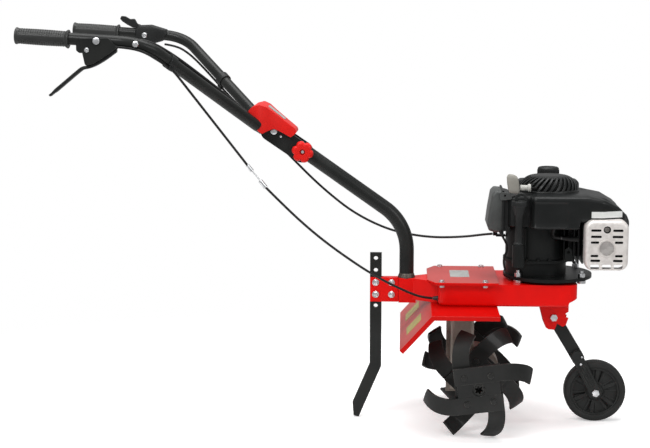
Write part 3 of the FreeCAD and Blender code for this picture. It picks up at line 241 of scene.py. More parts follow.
RED, FADED_RED = (0.80, 0.0032, 0.0018), (0.70, 0.0028, 0.0015)
FINISHES = {
    "painted_red": powder_coat("red_coat", RED, FADED_RED, rough=0.32, coat=0.05),
    "painted_black": powder_coat("black_coat", (0.012, 0.013, 0.0125), (0.019, 0.020, 0.019), rough=0.36,
                                 coat=0.08, worn=(0.07, 0.07, 0.066)),
    "zinc_bright": plating("zinc_plate", (0.80, 0.81, 0.83), (0.60, 0.61, 0.62), rough=0.26),
    "red_plastic": moulded("red_moulding", (0.70, 0.008, 0.005), (0.74, 0.012, 0.008), rough=0.38),
    "gearbox_metal": cast_metal("gearbox_casting", (0.30, 0.26, 0.225), (0.19, 0.165, 0.14), rough=0.44),
    "engine_black": powder_coat("engine_coat", (0.006, 0.007, 0.007), (0.011, 0.012, 0.0115), rough=0.38,
                                coat=0.05),
    "shroud_plastic": moulded("shroud_moulding", (0.0065, 0.0075, 0.0075), (0.011, 0.012, 0.012),
                              rough=0.36),
    "black_plastic": moulded("black_moulding", (0.010, 0.011, 0.011), (0.018, 0.019, 0.019), rough=0.42),
    "grey_plastic": moulded("grey_moulding", (0.058, 0.062, 0.061), (0.080, 0.084, 0.082), rough=0.38),
    "light_grey_plastic": moulded("pull_grip_moulding", (0.25, 0.24, 0.21), (0.33, 0.32, 0.29), rough=0.5),
    "white_plastic": moulded("guide_moulding", (0.40, 0.40, 0.37), (0.50, 0.50, 0.47), rough=0.45),
    "muffler_steel": plating("muffler_skin", (0.30, 0.28, 0.26), (0.18, 0.17, 0.16), rough=0.45),
    "guard_steel": plating("guard_skin", (0.84, 0.80, 0.77), (0.70, 0.66, 0.63), rough=0.42, metal=0.35),
    "tyre_rubber": moulded("tyre_moulding", (0.012, 0.0125, 0.012), (0.022, 0.023, 0.022), rough=0.55,
                           grain=900.0, depth=0.00009),
    "black_rubber": moulded("grip_rubber", (0.028, 0.029, 0.028), (0.042, 0.043, 0.042), rough=0.33,
                            grain=1100.0, depth=0.00008),
    "tine_paint": powder_coat("tine_coat", (0.013, 0.0135, 0.013), (0.024, 0.024, 0.023), rough=0.36,
                              coat=0.1, peel=0.0001, worn=(0.12, 0.115, 0.105)),
    "cable_sheath": moulded("cable_sheath", (0.008, 0.008, 0.008), (0.016, 0.016, 0.016), rough=0.4),
}
LABEL_SILVER = sticker("label_silver", (0.36, 0.36, 0.35), (0.44, 0.45, 0.43))
LABEL_YELLOW = sticker("label_yellow_green", (0.42, 0.33, 0.045), (0.34, 0.31, 0.06))
LABEL_WHITE = sticker("label_white", (0.74, 0.75, 0.74), (0.80, 0.81, 0.80))
# Near-black finish for painted shade: sheets set where the view falls into dark hollows.
DEEP_SHADE = moulded("painted_shade_black", (0.003, 0.003, 0.003), (0.006, 0.006, 0.006), rough=0.7)
DARK_SCREW = plating("dark_screw", (0.20, 0.20, 0.20), (0.11, 0.11, 0.11), rough=0.4)
WELD_GREY = plating("weld_grey", (0.16, 0.14, 0.12), (0.07, 0.06, 0.055), rough=0.5)
# Red coats with painted light: a painted reflection, paler on sloping tops. The guard's red is also a darker
# copy of the paint, painted shade that tones down its strongly lit top.
RED_WITH_PAINTED_LIGHT = {
    "belt_cover_plate": powder_coat("cover_red_coat", RED, FADED_RED, rough=0.32, coat=0.05,
                                    painted_reflection=(0.50, 0.058, 0.052)),
    "tine_guard": powder_coat("guard_red_coat", (0.58, 0.0026, 0.0016), (0.52, 0.0023, 0.0014), rough=0.32,
                              coat=0.05, painted_reflection=(0.46, 0.058, 0.052), flat=0.0),
}

slots = {p["node"]: p["material_slot"] for p in frame["record"]["subparts"]}


# ------------------------------------------------------------ carried-over nodes
# Widths in mm, angles in degrees and the gap in metres.
EDGES = {"drag_stake": 1.0, "tine_guard": 0.8, "chassis_box": 0.8, "wheel_arm": 2.0, "wheel_fork": 0.8}
COMMON_EDGE = 0.5
NODE_CORNER, NODE_FLAT, NODE_STEPS = 32.0, 0.6, 2
WELD_GAP = 0.00001


def soften(piece, width, segments, corner):
    """Rounds edges of more than corner degrees by width mm, and keeps flat faces evenly shaded."""
    edge = piece.modifiers.new("edge", "BEVEL")
    edge.width = width * MM
    edge.segments = segments
    edge.limit_method = "ANGLE"
    edge.angle_limit = math.radians(corner)
    edge.harden_normals = True
    piece.modifiers.new("shade", "WEIGHTED_NORMAL").keep_sharp = True


for name, node in frame["nodes"].items():
    node.data.materials.clear()
    node.data.materials.append(RED_WITH_PAINTED_LIGHT.get(name, FINISHES[slots[name]]))
    for polygon in node.data.polygons:
        polygon.use_smooth = True
    weld = node.modifiers.new("weld", "WELD")
    weld.merge_threshold = WELD_GAP
    flat = node.modifiers.new("flat", "DECIMATE")
    flat.decimate_type = "DISSOLVE"
    flat.angle_limit = math.radians(NODE_FLAT)
    soften(node, EDGES.get(name, COMMON_EDGE), NODE_STEPS, NODE_CORNER)


# ------------------------------------------------------------ piece helpers
def arc(centre, radius, start, end, steps):
    """Points of a plane arc, angles in degrees."""
    turns = [math.radians(start + (end - start) * i / steps) for i in range(steps + 1)]
    return [(centre[0] + radius * math.cos(t), centre[1] + radius * math.sin(t)) for t in turns]


def oblong(x0, y0, x1, y1):
    """Corners of a plane rectangle."""
    return [(x0, y0), (x1, y0), (x1, y1), (x0, y1)]


def rounded(outline, radius, steps=6):
    """A plane outline with its corners rounded; radius is one number or one per corner."""
    radii = radius if isinstance(radius, (list, tuple)) else [radius] * len(outline)
    out = []
    for i, corner in enumerate(outline):
        here = Vector(corner)
        before = (Vector(outline[i - 1]) - here).normalized()
        after = (Vector(outline[(i + 1) % len(outline)]) - here).normalized()
        half = before.angle(after) / 2
        reach = radii[i] / math.tan(half)
        if radii[i] < 0.01:
            out.append(tuple(here))
            continue
        hub = here + (before + after).normalized() * (radii[i] / math.sin(half))
        start, end = here + before * reach - hub, here + after * reach - hub
        for k in range(steps + 1):
            out.append(tuple(hub + start.slerp(end, k / steps) * radii[i]))
    return out


def drawn_in(outline, mid, shrink):
    """A plane outline's points moved towards mid by shrink, and at most 60 per cent of the way."""
    out = []
    for point in outline:
        away = Vector(point) - mid
        out.append(Vector(point) - away.normalized() * min(shrink, away.length * 0.6))
    return out


class Shape:
    """Solid parts of one piece, gathered in millimetres in one mesh."""

    def __init__(self):
        self.bm = bmesh.new()

    def loft(self, rings, ends=(True, True)):
        """Skin over rings that have equal numbers of points, listed counterclockwise seen from the last."""
        rows = [[self.bm.verts.new(Vector(p) * MM) for p in ring] for ring in rings]
        n = len(rows[0])
        for low, high in zip(rows, rows[1:]):
            for k in range(n):
                self.bm.faces.new((low[k], low[(k + 1) % n], high[(k + 1) % n], high[k]))
        if ends[0]:
            self.bm.faces.new(rows[0][::-1])
        if ends[1]:
            self.bm.faces.new(rows[-1])
        return self

    def lathe(self, base, axis, profile, sides=48, ends=(True, True), lobes=None):
        """Turned part; profile lists (radius, height along axis) from the foot up."""
        axis = Vector(axis).normalized()
        u = axis.orthogonal().normalized()
        v = axis.cross(u)
        base = Vector(base)
        rings = []
        for radius, height in profile:
            ring = []
            for k in range(sides):
                turn = 2 * math.pi * k / sides
                r = radius * (lobes(turn) if lobes else 1.0)
                ring.append(base + axis * height + r * (math.cos(turn) * u + math.sin(turn) * v))
            rings.append(ring)
        return self.loft(rings, ends)

    def rod(self, base, axis, radius, length, sides):
        """Plain round bar from its foot along axis."""
        return self.lathe(base, axis, [(radius, 0), (radius, length)], sides)

    def prism(self, outline, origin, u, v, depth):
        """Plane outline in the directions u and v from origin, extruded by depth along u x v."""
        u, v, origin = Vector(u), Vector(v), Vector(origin)
        away = u.cross(v).normalized() * abs(depth)
        area = sum(a[0] * b[1] - b[0] * a[1] for a, b in zip(outline, list(outline[1:]) + [outline[0]]))
        points = [origin + u * a + v * b for a, b in (outline if area > 0 else outline[::-1])]
        start = away * 0 if depth > 0 else -away
        return self.loft([[p + start for p in points], [p + start + away for p in points]])

    def side(self, outline, y0, y1):
        """Side-view outline of (x, z) points between two planes across."""
        return self.prism(outline, (0, y1, 0), X, Z, y1 - y0)

    def plan(self, outline, z0, z1):
        """Plan outline of (x, y) points between two heights."""
        return self.prism(outline, (0, 0, z0), X, Y, z1 - z0)

    def block(self, low, high):
        """Square block between its lowest and highest corners."""
        (x0, y0, z0), (x1, y1, z1) = low, high
        return self.plan(oblong(x0, y0, x1, y1), z0, z1)

    def tube(self, points, radius, sides=14):
        """Round bar along points; radius is a number or a function of the share along."""
        points = [Vector(p) for p in points]
        rings = []
        way = (points[1] - points[0]).normalized()
        across = way.orthogonal().normalized()
        for i, point in enumerate(points):
            ahead = (points[min(len(points) - 1, i + 1)] - points[max(0, i - 1)]).normalized()
            across = (way.rotation_difference(ahead) @ across).normalized()
            way = ahead
            other = way.cross(across)
            r = radius(i / (len(points) - 1)) if callable(radius) else radius
            turns = [2 * math.pi * k / sides for k in range(sides)]
            rings.append([point + r * (math.cos(t) * across + math.sin(t) * other) for t in turns])
        return self.loft(rings)

    def mesh(self, name):
        """The gathered parts as one mesh, which ends the shape."""
        bmesh.ops.recalc_face_normals(self.bm, faces=self.bm.faces[:])
        mesh = bpy.data.meshes.new(name)
        self.bm.to_mesh(mesh)
        self.bm.free()
        return mesh

    def applied(self, kind, **settings):
        """Bakes one modifier into the shape."""
        body = bpy.data.objects.new("shape", self.mesh("shape"))
        bpy.context.scene.collection.objects.link(body)
        change = body.modifiers.new("change", kind)
        for key, value in settings.items():
            setattr(change, key, value)
        done = bpy.data.meshes.new_from_object(body.evaluated_get(bpy.context.evaluated_depsgraph_get()))
        old = body.data
        bpy.data.objects.remove(body)
        bpy.data.meshes.remove(old)
        self.bm = bmesh.new()
        self.bm.from_mesh(done)
        bpy.data.meshes.remove(done)
        return self

    def cut(self, cutter, overlapping=True, keep=False):
        """Takes another shape's space away, or keeps only that space.

        overlapping lets the solids within a shape cross each other.
        """
        tool = bpy.data.objects.new("tool", cutter.mesh("tool"))
        bpy.context.scene.collection.objects.link(tool)
        self.applied("BOOLEAN", operation="INTERSECT" if keep else "DIFFERENCE", solver="EXACT", object=tool,
                     use_self=overlapping)
        old = tool.data
        bpy.data.objects.remove(tool)
        bpy.data.meshes.remove(old)
        return self

    def piece(self, name, body, slot, stands_for=(), bevel=0.5, segments=2, material=None, angle=35.0,
              corner=30.0):
        """Finishes the shape as a piece of the model; bevel is in mm, angle and corner in degrees."""
        piece = add(name, self.mesh(name), body, slot, material, angle)
        if bevel:
            soften(piece, bevel, segments, corner)
        if stands_for:
            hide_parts(*stands_for)
        return piece


def add(name, mesh, body, slot, material=None, angle=35.0):
    """Links a mesh as a piece that rides on body and takes its finish from slot."""
    piece = bpy.data.objects.new(name, mesh)
    bpy.context.scene.collection.objects.link(piece)
    mesh.materials.clear()
    mesh.materials.append(material or FINISHES[slot])
    for polygon in mesh.polygons:
        polygon.use_smooth = True
    mesh.set_sharp_from_angle(angle=math.radians(angle))
    if body:
        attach(piece, body)
    return piece


def spline_points(route, resolution=12):
    """Points along the smooth line that the route's control points shape, in metres."""
    curve = bpy.data.curves.new("route", "CURVE")
    curve.dimensions = "3D"
    line = curve.splines.new("NURBS")
    line.points.add(len(route) - 1)
    for point, place in zip(line.points, route):
        point.co = (*place, 1.0)
    line.order_u = 3
    line.use_endpoint_u = True
    line.resolution_u = resolution
    holder = bpy.data.objects.new("route", curve)
    mesh = bpy.data.meshes.new_from_object(holder)
    points = [v.co.copy() for v in mesh.vertices]
    bpy.data.objects.remove(holder)
    bpy.data.curves.remove(curve)
    bpy.data.meshes.remove(mesh)
    return points


def smooth(points, resolution=12):
    """The smooth line that the points shape, in mm."""
    return [p * (1 / MM) for p in spline_points([Vector(q) * MM for q in points], resolution)]


def middle(node):
    """A node's middle at rest, in mm."""
    low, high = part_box(node)
    return (Vector(low) + Vector(high)) / 2 / MM


def corners(node):
    """A node's lowest and highest corners at rest, in mm."""
    low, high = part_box(node)
    return Vector(low) / MM, Vector(high) / MM


# ------------------------------------------------------------ engine
SHROUD_PLAN = [(347, -40), (367, -70), (404, -72), (408, -100), (552, -100), (598, -82), (612, -56),
               (612, 30), (582, 56), (527, 70), (387, 70), (361, 50), (347, 30)]
SHROUD_ROUNDS = [14, 9, 4, 9, 20, 16, 16, 20, 16, 16, 20, 14, 14]
SHROUD_SKYLINE = [(330, 486), (360, 497), (400, 500), (520, 500), (560, 493), (590, 477), (606, 463),
                  (612, 450)]
SHROUD_MIDDLE = Vector((456.0, -10.0))
SHROUD_WALL = 3.0
DOME_FOOT = 500.0
dome_x = middle("starter_dome").x


def on_line(line, x):
    """Height of a polyline at x."""
    for (x0, z0), (x1, z1) in zip(line, line[1:]):
        if x <= x1:
            return z0 + (z1 - z0) * max(0.0, x - x0) / (x1 - x0)
    return line[-1][1]


def even_outline(outline, pitch):
    """The outline with points added so that no gap is wider than pitch."""
    out = []
    for a, b in zip(outline, outline[1:] + outline[:1]):
        a, b = Vector(a), Vector(b)
        count = max(1, math.ceil((b - a).length / pitch))
        out += [a.lerp(b, i / count) for i in range(count)]
    return out


def shroud():
    """Hollow blower housing: an upright skirt with a sunk panel and a label seat under a rounded top."""
    line = even_outline(rounded(SHROUD_PLAN, SHROUD_ROUNDS, 5), 3.5)
    outward = []
    for i in range(len(line)):
        run = line[(i + 1) % len(line)] - line[i - 1]
        outward.append(Vector((run.y, -run.x)).normalized())
    low_rim, high_rim, shoulder = 432.5, 451.0, 9.0
    rim_inset, panel_depth, seat_depth = 0.6, 2.2, 1.0
    foot = [high_rim if 506 < p.x < 602 else low_rim for p in line]
    top = [on_line(SHROUD_SKYLINE, p.x) for p in line]
    rings = []
    for level in (0, 436, 438.5, 450, 464, 473, 475, 483, 487, 489):
        ring = []
        for p, out, low, high in zip(line, outward, foot, top):
            z = min(max(level, low), high - shoulder)
            inset = 0.0 if level else rim_inset
            if 403 < p.x < 481 and p.y < -90 and 436 < z < 487.5:
                inset = panel_depth
            if p.x > 522 and p.y < -60 and z < 474:
                inset += seat_depth
            ring.append((p.x - out.x * inset, p.y - out.y * inset, z))
        rings.append(ring)
    for drop, inset in ((8.5, 0.0), (5.5, 0.6), (2.8, 2.4), (1.0, 5.2), (0.2, 9.0)):
        ring = []
        for p, out, high in zip(line, outward, top):
            ring.append((p.x - out.x * inset, p.y - out.y * inset, high - drop))
        rings.append(ring)
    for share, rise in ((0.18, 1.0), (0.34, 1.8), (0.5, 1.8)):
        ring = []
        for p in line:
            q = Vector((p.x, p.y)).lerp(SHROUD_MIDDLE, share)
            ring.append((q.x, q.y, on_line(SHROUD_SKYLINE, q.x) + rise))
        rings.append(ring)
    shape = Shape().loft(rings, ends=(False, True))
    piece = shape.piece("shroud", "chassis", "shroud_plastic", ["blower_housing"], bevel=0, angle=50)
    wall = piece.modifiers.new("wall", "SOLIDIFY")
    wall.thickness = SHROUD_WALL * MM
    wall.offset = -1.0


def shroud_label():
    """Blank white strip that follows the shroud round its front corner."""
    low, high, thick = 457.0, 470.0, 1.2
    rows = []
    for i in range(14):
        x = 528 + 65 * i / 13
        y = -100.1 + max(0.0, x - 552) * 0.391
        rows.append([(x, y, low), (x, y, high), (x, y + thick, high), (x, y + thick, low)])
    Shape().loft(rows).piece("shroud_label", "chassis", "white_plastic", bevel=0, material=LABEL_WHITE)


def dome_point(turn, share, lift=0.0):
    """A point on the finger guard, lifted off it by lift; share runs from the foot to the crown."""
    outline = [(63.0, 0.0), (62.6, 7.0), (60.0, 15.5), (54.5, 24.0), (47.0, 30.0), (38.0, 33.6)]
    at = share * (len(outline) - 1)
    i = min(int(at), len(outline) - 2)
    r = outline[i][0] + (outline[i + 1][0] - outline[i][0]) * (at - i)
    h = outline[i][1] + (outline[i + 1][1] - outline[i][1]) * (at - i)
    r += lift * 0.75
    return Vector((dome_x + r * math.cos(turn), r * math.sin(turn), DOME_FOOT + h + lift * 0.6))


def finger_guard():
    """Slanted bars over the starter, from a foot ring to a smooth crown."""
    bars = Shape()
    count, slant, half = 30, math.radians(27), math.radians(3.4)
    sunk, proud = -3.5, 0.6
    for i in range(count):
        start = 2 * math.pi * i / count
        rows = []
        for k in range(9):
            share = 0.06 + 0.92 * k / 8
            turn = start + slant * share
            narrow = half * 0.8
            rows.append([dome_point(turn - half, share, sunk), dome_point(turn + half, share, sunk),
                         dome_point(turn + narrow, share, proud), dome_point(turn - narrow, share, proud)])
        bars.loft(rows)
    foot = (dome_x, 0, DOME_FOOT)
    bars.lathe(foot, Z, [(60, -2), (64.5, -2), (64.5, 2.5), (63.4, 5.2), (60.5, 6.4), (57, 5.0)], 72)
    bars.lathe(foot, Z, [(36.0, 26), (42.0, 28.0), (41.0, 31.8), (36.5, 34.0), (25, 34.9), (10, 35.0)], 72)
    bars.piece("finger_guard", "chassis", "shroud_plastic", ["starter_dome"], bevel=0.35, corner=45)
    # A dome under the bars stands in for the flywheel inside. Its near-black finish is painted shade, the
    # dark inside of the guard.
    shade_sheet = Shape().lathe(foot, Z, [(57.5, -1), (57, 6), (54, 14), (48.5, 21), (40, 26.5), (20, 30)], 60)
    shade_sheet.piece("finger_guard_painted_shade", "chassis", "engine_black", bevel=0, material=DEEP_SHADE, angle=80)


def tank_cap():
    """Fuel cap with a ribbed skirt and a stepped top."""
    low, high = corners("fuel_cap")
    centre = (low + high) / 2
    foot = (centre.x, centre.y, low.z)
    r = (high.x - low.x) / 2
    tall = high.z - low.z

    def ribs(turn):
        return 1.0 - 0.028 * (1.0 + math.cos(26 * turn))

    cap = Shape().lathe(foot, Z, [(r, 0), (r, tall - 6.5)], 208, lobes=ribs)
    cap.lathe(foot, Z, [(r * 0.955, tall - 6.5), (r * 0.965, tall - 4.5), (r * 0.93, tall - 2.2),
                        (r * 0.84, tall - 0.6), (r * 0.70, tall), (r * 0.60, tall - 0.2),
                        (r * 0.56, tall - 1.4), (r * 0.2, tall - 1.4)], 72)
    cap.piece("fuel_cap_ribbed", "chassis", "black_plastic", ["fuel_cap"], bevel=0, angle=40)


def tank_seam():
    """Welded seam that runs round the moulded fuel tank."""
    low, high = corners("fuel_tank")
    outline = rounded(oblong(low.x - 1.5, low.y + 2, high.x + 1.5, high.y + 1.5), 16, 8)
    Shape().plan(outline, 472, 475.5).piece("fuel_tank_seam", "chassis", "black_plastic", bevel=0.6)


def air_cleaner():
    """Air cleaner with its rounded lid, the neck and rim behind it and a screw lug."""
    low = corners("air_cleaner_cover")[0]
    outline = [(low.x + 0.4, 434), (low.x + 4, 464), (low.x + 10, 500), (low.x + 17, 507.5), (348, 506),
               (349, 440), (348, 419), (333, 418.4), (low.x + 5, 422)]
    line = rounded(outline, [6, 0, 7, 6, 3, 0, 3, 8, 6], 4)
    mid = Vector((336.0, 462.0))
    rows = []
    for y, shrink in ((-62, 7.0), (-60.5, 3.2), (-57.5, 1.0), (-53, 0.0), (20, 0.0), (25, 1.0), (28, 3.2),
                      (29.5, 7.0)):
        rows.append([(p.x, y, p.y) for p in drawn_in(line, mid, shrink)])
    cover = Shape().loft(rows)
    neck = Shape().side(rounded([(347, 420), (364, 424), (364, 500), (347, 504)], 3, 3), -58, 26)
    cover.piece("air_cleaner_lid", "chassis", "grey_plastic", ["air_cleaner_cover"], bevel=0, angle=50)
    neck.piece("air_cleaner_neck", "chassis", "black_plastic", bevel=1.0)
    rim = Shape().side(rounded(oblong(346.0, 416.5, 350.5, 508.5), 1.5, 3), -63.5, 31)
    rim.piece("air_cleaner_rim", "chassis", "black_plastic", bevel=1.2)
    lug = Shape().side(rounded([(343, 488), (366, 490), (366, 503), (340, 506)], 3, 3), -66.5, -63.5)
    hole = Shape().rod((352, -70, 498), Y, 2.6, 12, 20)
    lug.cut(hole).piece("air_cleaner_lug", "chassis", "grey_plastic", bevel=0.4)


def pull_start():
    """Pull handle with its rope, parked against the guide."""
    low = corners("starter_grip")[0]
    lean_x, lean = 368, 0.12
    rows = []
    for rise, x0, x1, half in ((0, 361.5, 380.5, 7.0), (1.5, 360.0, 382.0, 8.6), (8, 358.0, 382.3, 9.0),
                               (20, 356.0, 381.0, 8.4), (31, 355.2, 379.2, 9.0), (36.0, 357.0, 376.0, 8.2),
                               (38.4, 359.5, 370.5, 5.8)):
        outline = rounded(oblong(x0, -half, x1, half), min(5.0, half - 1), 5)
        rows.append([(x, GRIP_Y + y, low.z + rise + (lean_x - x) * lean) for x, y in outline])
    grip = Shape().loft(rows)
    grip.piece("pull_grip", "chassis", "light_grey_plastic", ["starter_grip"], bevel=0, angle=60)
    low = corners("rope_guide")[0]
    z = 514.0
    guide = Shape().lathe((low.x, GRIP_Y, z), X, [(5.8, 0), (6.2, 2), (5.6, 14), (6.0, 15), (8.2, 17),
                                                   (8.4, 20.5), (7.4, 22)], 40)
    guide.piece("rope_guide_bush", "chassis", "white_plastic", ["rope_guide"], bevel=0.3)
    rope = [(low.x + 20, GRIP_Y, z), (low.x + 30, GRIP_Y + 4, z - 1), (low.x + 38, GRIP_Y + 12, z - 6),
            (low.x + 42, GRIP_Y + 20, 499)]
    Shape().tube(rope, 2.0, 10).piece("pull_rope_end", "chassis", "cable_sheath", bevel=0, angle=60)


def oil_fill():
    """Oil filler tube, its fluted cap and the dipstick's ring."""
    low, high = corners("oil_filler")
    x, y = (low.x + high.x) / 2, (low.y + high.y) / 2
    tube = Shape().lathe((x, y, 0), Z, [(10.5, 398.4), (10.5, 402), (8.2, 404), (7.6, 440), (8.6, 456),
                                        (12.5, 468), (14.6, 476), (15.4, 480)], 40)
    tube.piece("oil_filler_tube", "chassis", "black_plastic", ["oil_filler"], bevel=0, angle=40)

    def flutes(turn):
        return 1.0 - 0.02 * (1.0 + math.cos(18 * turn))

    cap = Shape().lathe((x, y, 0), Z, [(16.4, 480.2), (17, 482), (17, 488), (15.6, 490.5), (8, 491)], 144,
                        lobes=flutes)
    ring = Shape().lathe((x + 3, y - 3.8, 494.5), Y, [(8.2, 0), (12.2, 0), (13.2, 1.2), (13.2, 6.4),
                                                        (12.2, 7.6), (8.2, 7.6)], 48)
    ring.cut(Shape().rod((x + 3, y - 10, 494.5), Y, 7.4, 20, 36))
    cap.piece("oil_filler_cap", "chassis", "black_plastic", bevel=0.3)
    ring.piece("dipstick_ring", "chassis", "black_plastic", bevel=0.4)


def crankcase_details():
    """Flange, screws and ribs of the crankcase, and the breather hose."""
    seam = rounded(oblong(354.5, -63, 492.5, 63), 56, 14)
    Shape().plan(seam, 352, 359).piece("sump_flange", "chassis", "engine_black", bevel=0.8)
    screws = Shape()
    for x in (400, 424, 448):
        for y in (-60.4, 60.4):
            screws.lathe((x, y, 359), Z, [(4.2, 0), (4.2, 3.4), (3.4, 4.2)], 6)
    screws.piece("sump_screws", "chassis", "engine_black", bevel=0.3)
    ribs = Shape()
    for x in (396, 476):
        ribs.block((x, -60.5, 360), (x + 2.5, -55, 428))
        ribs.block((x, 55, 360), (x + 2.5, 60.5, 428))
    ribs.piece("crankcase_ribs", "chassis", "engine_black", bevel=0.6)
    hose = [(341, -66, 424), (347, -68, 414), (354, -68, 402), (358, -66, 392), (357, -64, 378),
            (352, -62, 366), (352, -60, 350), (356, -58, 338)]
    Shape().tube(smooth(hose), 2.4, 12).piece("breather_hose", "chassis", "black_rubber", bevel=0, angle=60,
                                              material=FINISHES["cable_sheath"])


def spark_side():
    """Plug boot, its band, the lead and a small bracket beside the fins."""
    boot = [(505, -62, 407), (497, -63, 407), (489, -63.5, 407), (480, -64, 408), (472, -64, 409)]
    Shape().tube(boot, lambda s: 7.0 - 2.6 * s, 24).piece("plug_boot", "chassis", "black_rubber", bevel=0,
                                                          angle=60, material=FINISHES["cable_sheath"])
    band = Shape().lathe((474, -64, 409), (-1, 0, 0.1), [(4.2, -6), (4.2, 4), (3.2, 5)], 24)
    band.piece("plug_boot_band", "chassis", "zinc_bright", bevel=0.2, material=DARK_SCREW)
    lead = [(472, -64, 409), (463, -65, 409), (455, -68, 412), (451, -74, 419), (452, -82, 428),
            (456, -88, 440)]
    Shape().tube(smooth(lead), 3.2, 12).piece("plug_lead", "chassis", "black_rubber", bevel=0, angle=60,
                                              material=FINISHES["cable_sheath"])
    plate = rounded([(478, 360), (494, 360), (494, 384), (486, 392), (478, 384)], 3, 3)
    bracket = Shape().side(plate, -70, -67.5)
    bracket.cut(Shape().rod((486, -80, 380), Y, 3, 20, 20))
    bracket.piece("fin_bracket", "chassis", "engine_black", bevel=0.4)


def muffler_tray():
    """The muffler's can under its pressed guard: a tray with louvres, a screw and a pierced disc."""
    low, high = corners("muffler_guard")
    x0, x1, z0, z1, y = low.x + 4.0, high.x - 3.0, low.z, high.z, low.y
    mid_x, mid_z = (x0 + x1) / 2, (z0 + z1) / 2
    half_x, half_z, disc_z, screw_z = 48, 52, 396.5, 435.5
    before, behind, through = y - 10, y + 10, 20
    outline = rounded(oblong(x0, z0, x1, z1), 17, 8)

    def ring(shrink, deep):
        out = []
        for a, b in outline:
            da, db = a - mid_x, b - mid_z
            out.append((mid_x + da * (1 - shrink / half_x), y + deep, mid_z + db * (1 - shrink / half_z)))
        return out

    rows = [ring(0, 35), ring(0, 8), ring(0.6, 5), ring(2.2, 2.2), ring(4.6, 0.6), ring(7.5, 0.2),
            ring(9.5, 0.2), ring(11, 1.2), ring(13, 1.5)]
    tray = Shape().loft(rows, ends=(False, True)).applied("SOLIDIFY", thickness=1.6 * MM, offset=-1.0)
    holes = Shape()
    for z, reach in ((434, 21), (421, 22), (409, 17), (381, 16), (371, 20)):
        for side in (-1, 1):
            cx = mid_x + side * (33 - reach / 2)
            slot = rounded(oblong(cx - reach / 2, z - 2.5, cx + reach / 2, z + 2.5), 2.2, 4)
            holes.prism(slot, (0, behind, 0), X, Z, through)
    for cx in (mid_x - 24, mid_x, mid_x + 24):
        slot = rounded(oblong(cx - 9, z0 + 4, cx + 9, z0 + 13), 2.5, 4)
        holes.prism(slot, (0, behind, 0), X, Z, through)
    holes.rod((mid_x, before, screw_z), Y, 7.6, through, 28)
    for row, count in ((0, 1), (4.9, 6), (9.4, 12), (13.2, 16)):
        for k in range(count):
            turn = 2 * math.pi * k / count
            spot = (mid_x + row * math.cos(turn), before, disc_z + row * math.sin(turn))
            holes.rod(spot, Y, 1.75, through, 10)
    tray.cut(holes).piece("muffler_tray", "chassis", "guard_steel", ["muffler_guard"], bevel=0, angle=40)
    pressings = Shape()
    for r in (16.0, 18.0):
        hoop = [(r - 0.9, 1.8), (r - 0.5, 0.2), (r + 0.5, 0.2), (r + 0.9, 1.8)]
        pressings.lathe((mid_x, y - 0.2, disc_z), Y, hoop, 56)
    for z in (446, 427.5, 415, 386, 376, 363.5):
        for side in (-1, 1):
            ridge = oblong(mid_x + side * 8, z, mid_x + side * 36, z + 1.6)
            pressings.prism(rounded(ridge, 0.7, 3), (0, y + 1.9, 0), X, Z, 1.2)
    pressings.piece("muffler_tray_pressings", "chassis", "guard_steel", bevel=0.3)
    head = [(5.6, 0), (5.6, 3.4), (4.6, 4.6), (2.4, 5.0), (2.2, 3.0)]
    screw = Shape().lathe((mid_x, y + 8, screw_z), -Y, head, 28)
    screw.piece("muffler_screw", "chassis", "muffler_steel", bevel=0.2)
    low, high = corners("muffler")
    rows = []
    for z, shrink in ((372, 9), (373, 5), (376, 2), (381, 0.5), (405, 0.5), (406, -0.6), (409, -0.6),
                      (410, 0.5), (436, 0.5), (441, 2), (444, 5), (445, 9)):
        can = oblong(low.x + shrink, low.y + shrink, high.x - shrink, high.y - shrink)
        rows.append([(a, b, z) for a, b in rounded(can, 9, 5)])
    Shape().loft(rows).piece("muffler_can", "chassis", "muffler_steel", ["muffler"], bevel=0, angle=50)
    # Painted shade: a near-black sheet behind the louvres and the pierced disc, so that they read dark.
    shade_sheet = Shape().plan(oblong(mid_x - 34, y + 5.5, mid_x + 34, y + 7), z0 + 16, z1 - 8)
    shade_sheet.piece("muffler_painted_shade", "chassis", "muffler_steel", bevel=0, material=DEEP_SHADE)
    tab = Shape().block((x0 + 1, y + 33.5, z0 + 46), (x0 + 7, -66.5, z0 + 56))
    tab.piece("muffler_tab", "chassis", "muffler_steel", bevel=0.5)


GRIP_Y = middle("starter_grip").y
shroud()
shroud_label()
finger_guard()
tank_cap()
tank_seam()
air_cleaner()
pull_start()
oil_fill()
crankcase_details()
spark_side()
muffler_tray()


# ------------------------------------------------------------ wheel, fork and tines
wheel = middle("wheel_tyre")
wheel_r = (corners("wheel_tyre")[1].x - corners("wheel_tyre")[0].x) / 2


def polar(centre, radius, degrees, y=0.0):
    """A point round a centre in side view, at a distance across."""
    turn = math.radians(degrees)
    return Vector((centre.x + radius * math.cos(turn), y, centre.z + radius * math.sin(turn)))


def tyre():
    """Solid rubber tyre with rounded shoulders and two shallow grooves."""
    r = wheel_r
    half = [(51.3, 13.2), (52.5, 15.2), (56, 16.3), (60, 16.4), (62.8, 15.6), (64.8, 13.4), (r - 0.2, 10.4),
            (r, 7.2), (r - 1.0, 6.8), (r - 1.0, 5.2), (r, 4.8)]
    profile = half + [(a, -b) for a, b in reversed(half)]
    shape = Shape()
    rings = []
    for radius, y in profile + profile[:1]:
        rings.append([polar(wheel, radius, 360 * k / 96, y) for k in range(96)])
    shape.loft(rings, ends=(False, False))
    bmesh.ops.remove_doubles(shape.bm, verts=shape.bm.verts[:], dist=1e-6)
    shape.piece("tyre", "front_wheel", "tyre_rubber", ["wheel_tyre"], bevel=0, angle=50)


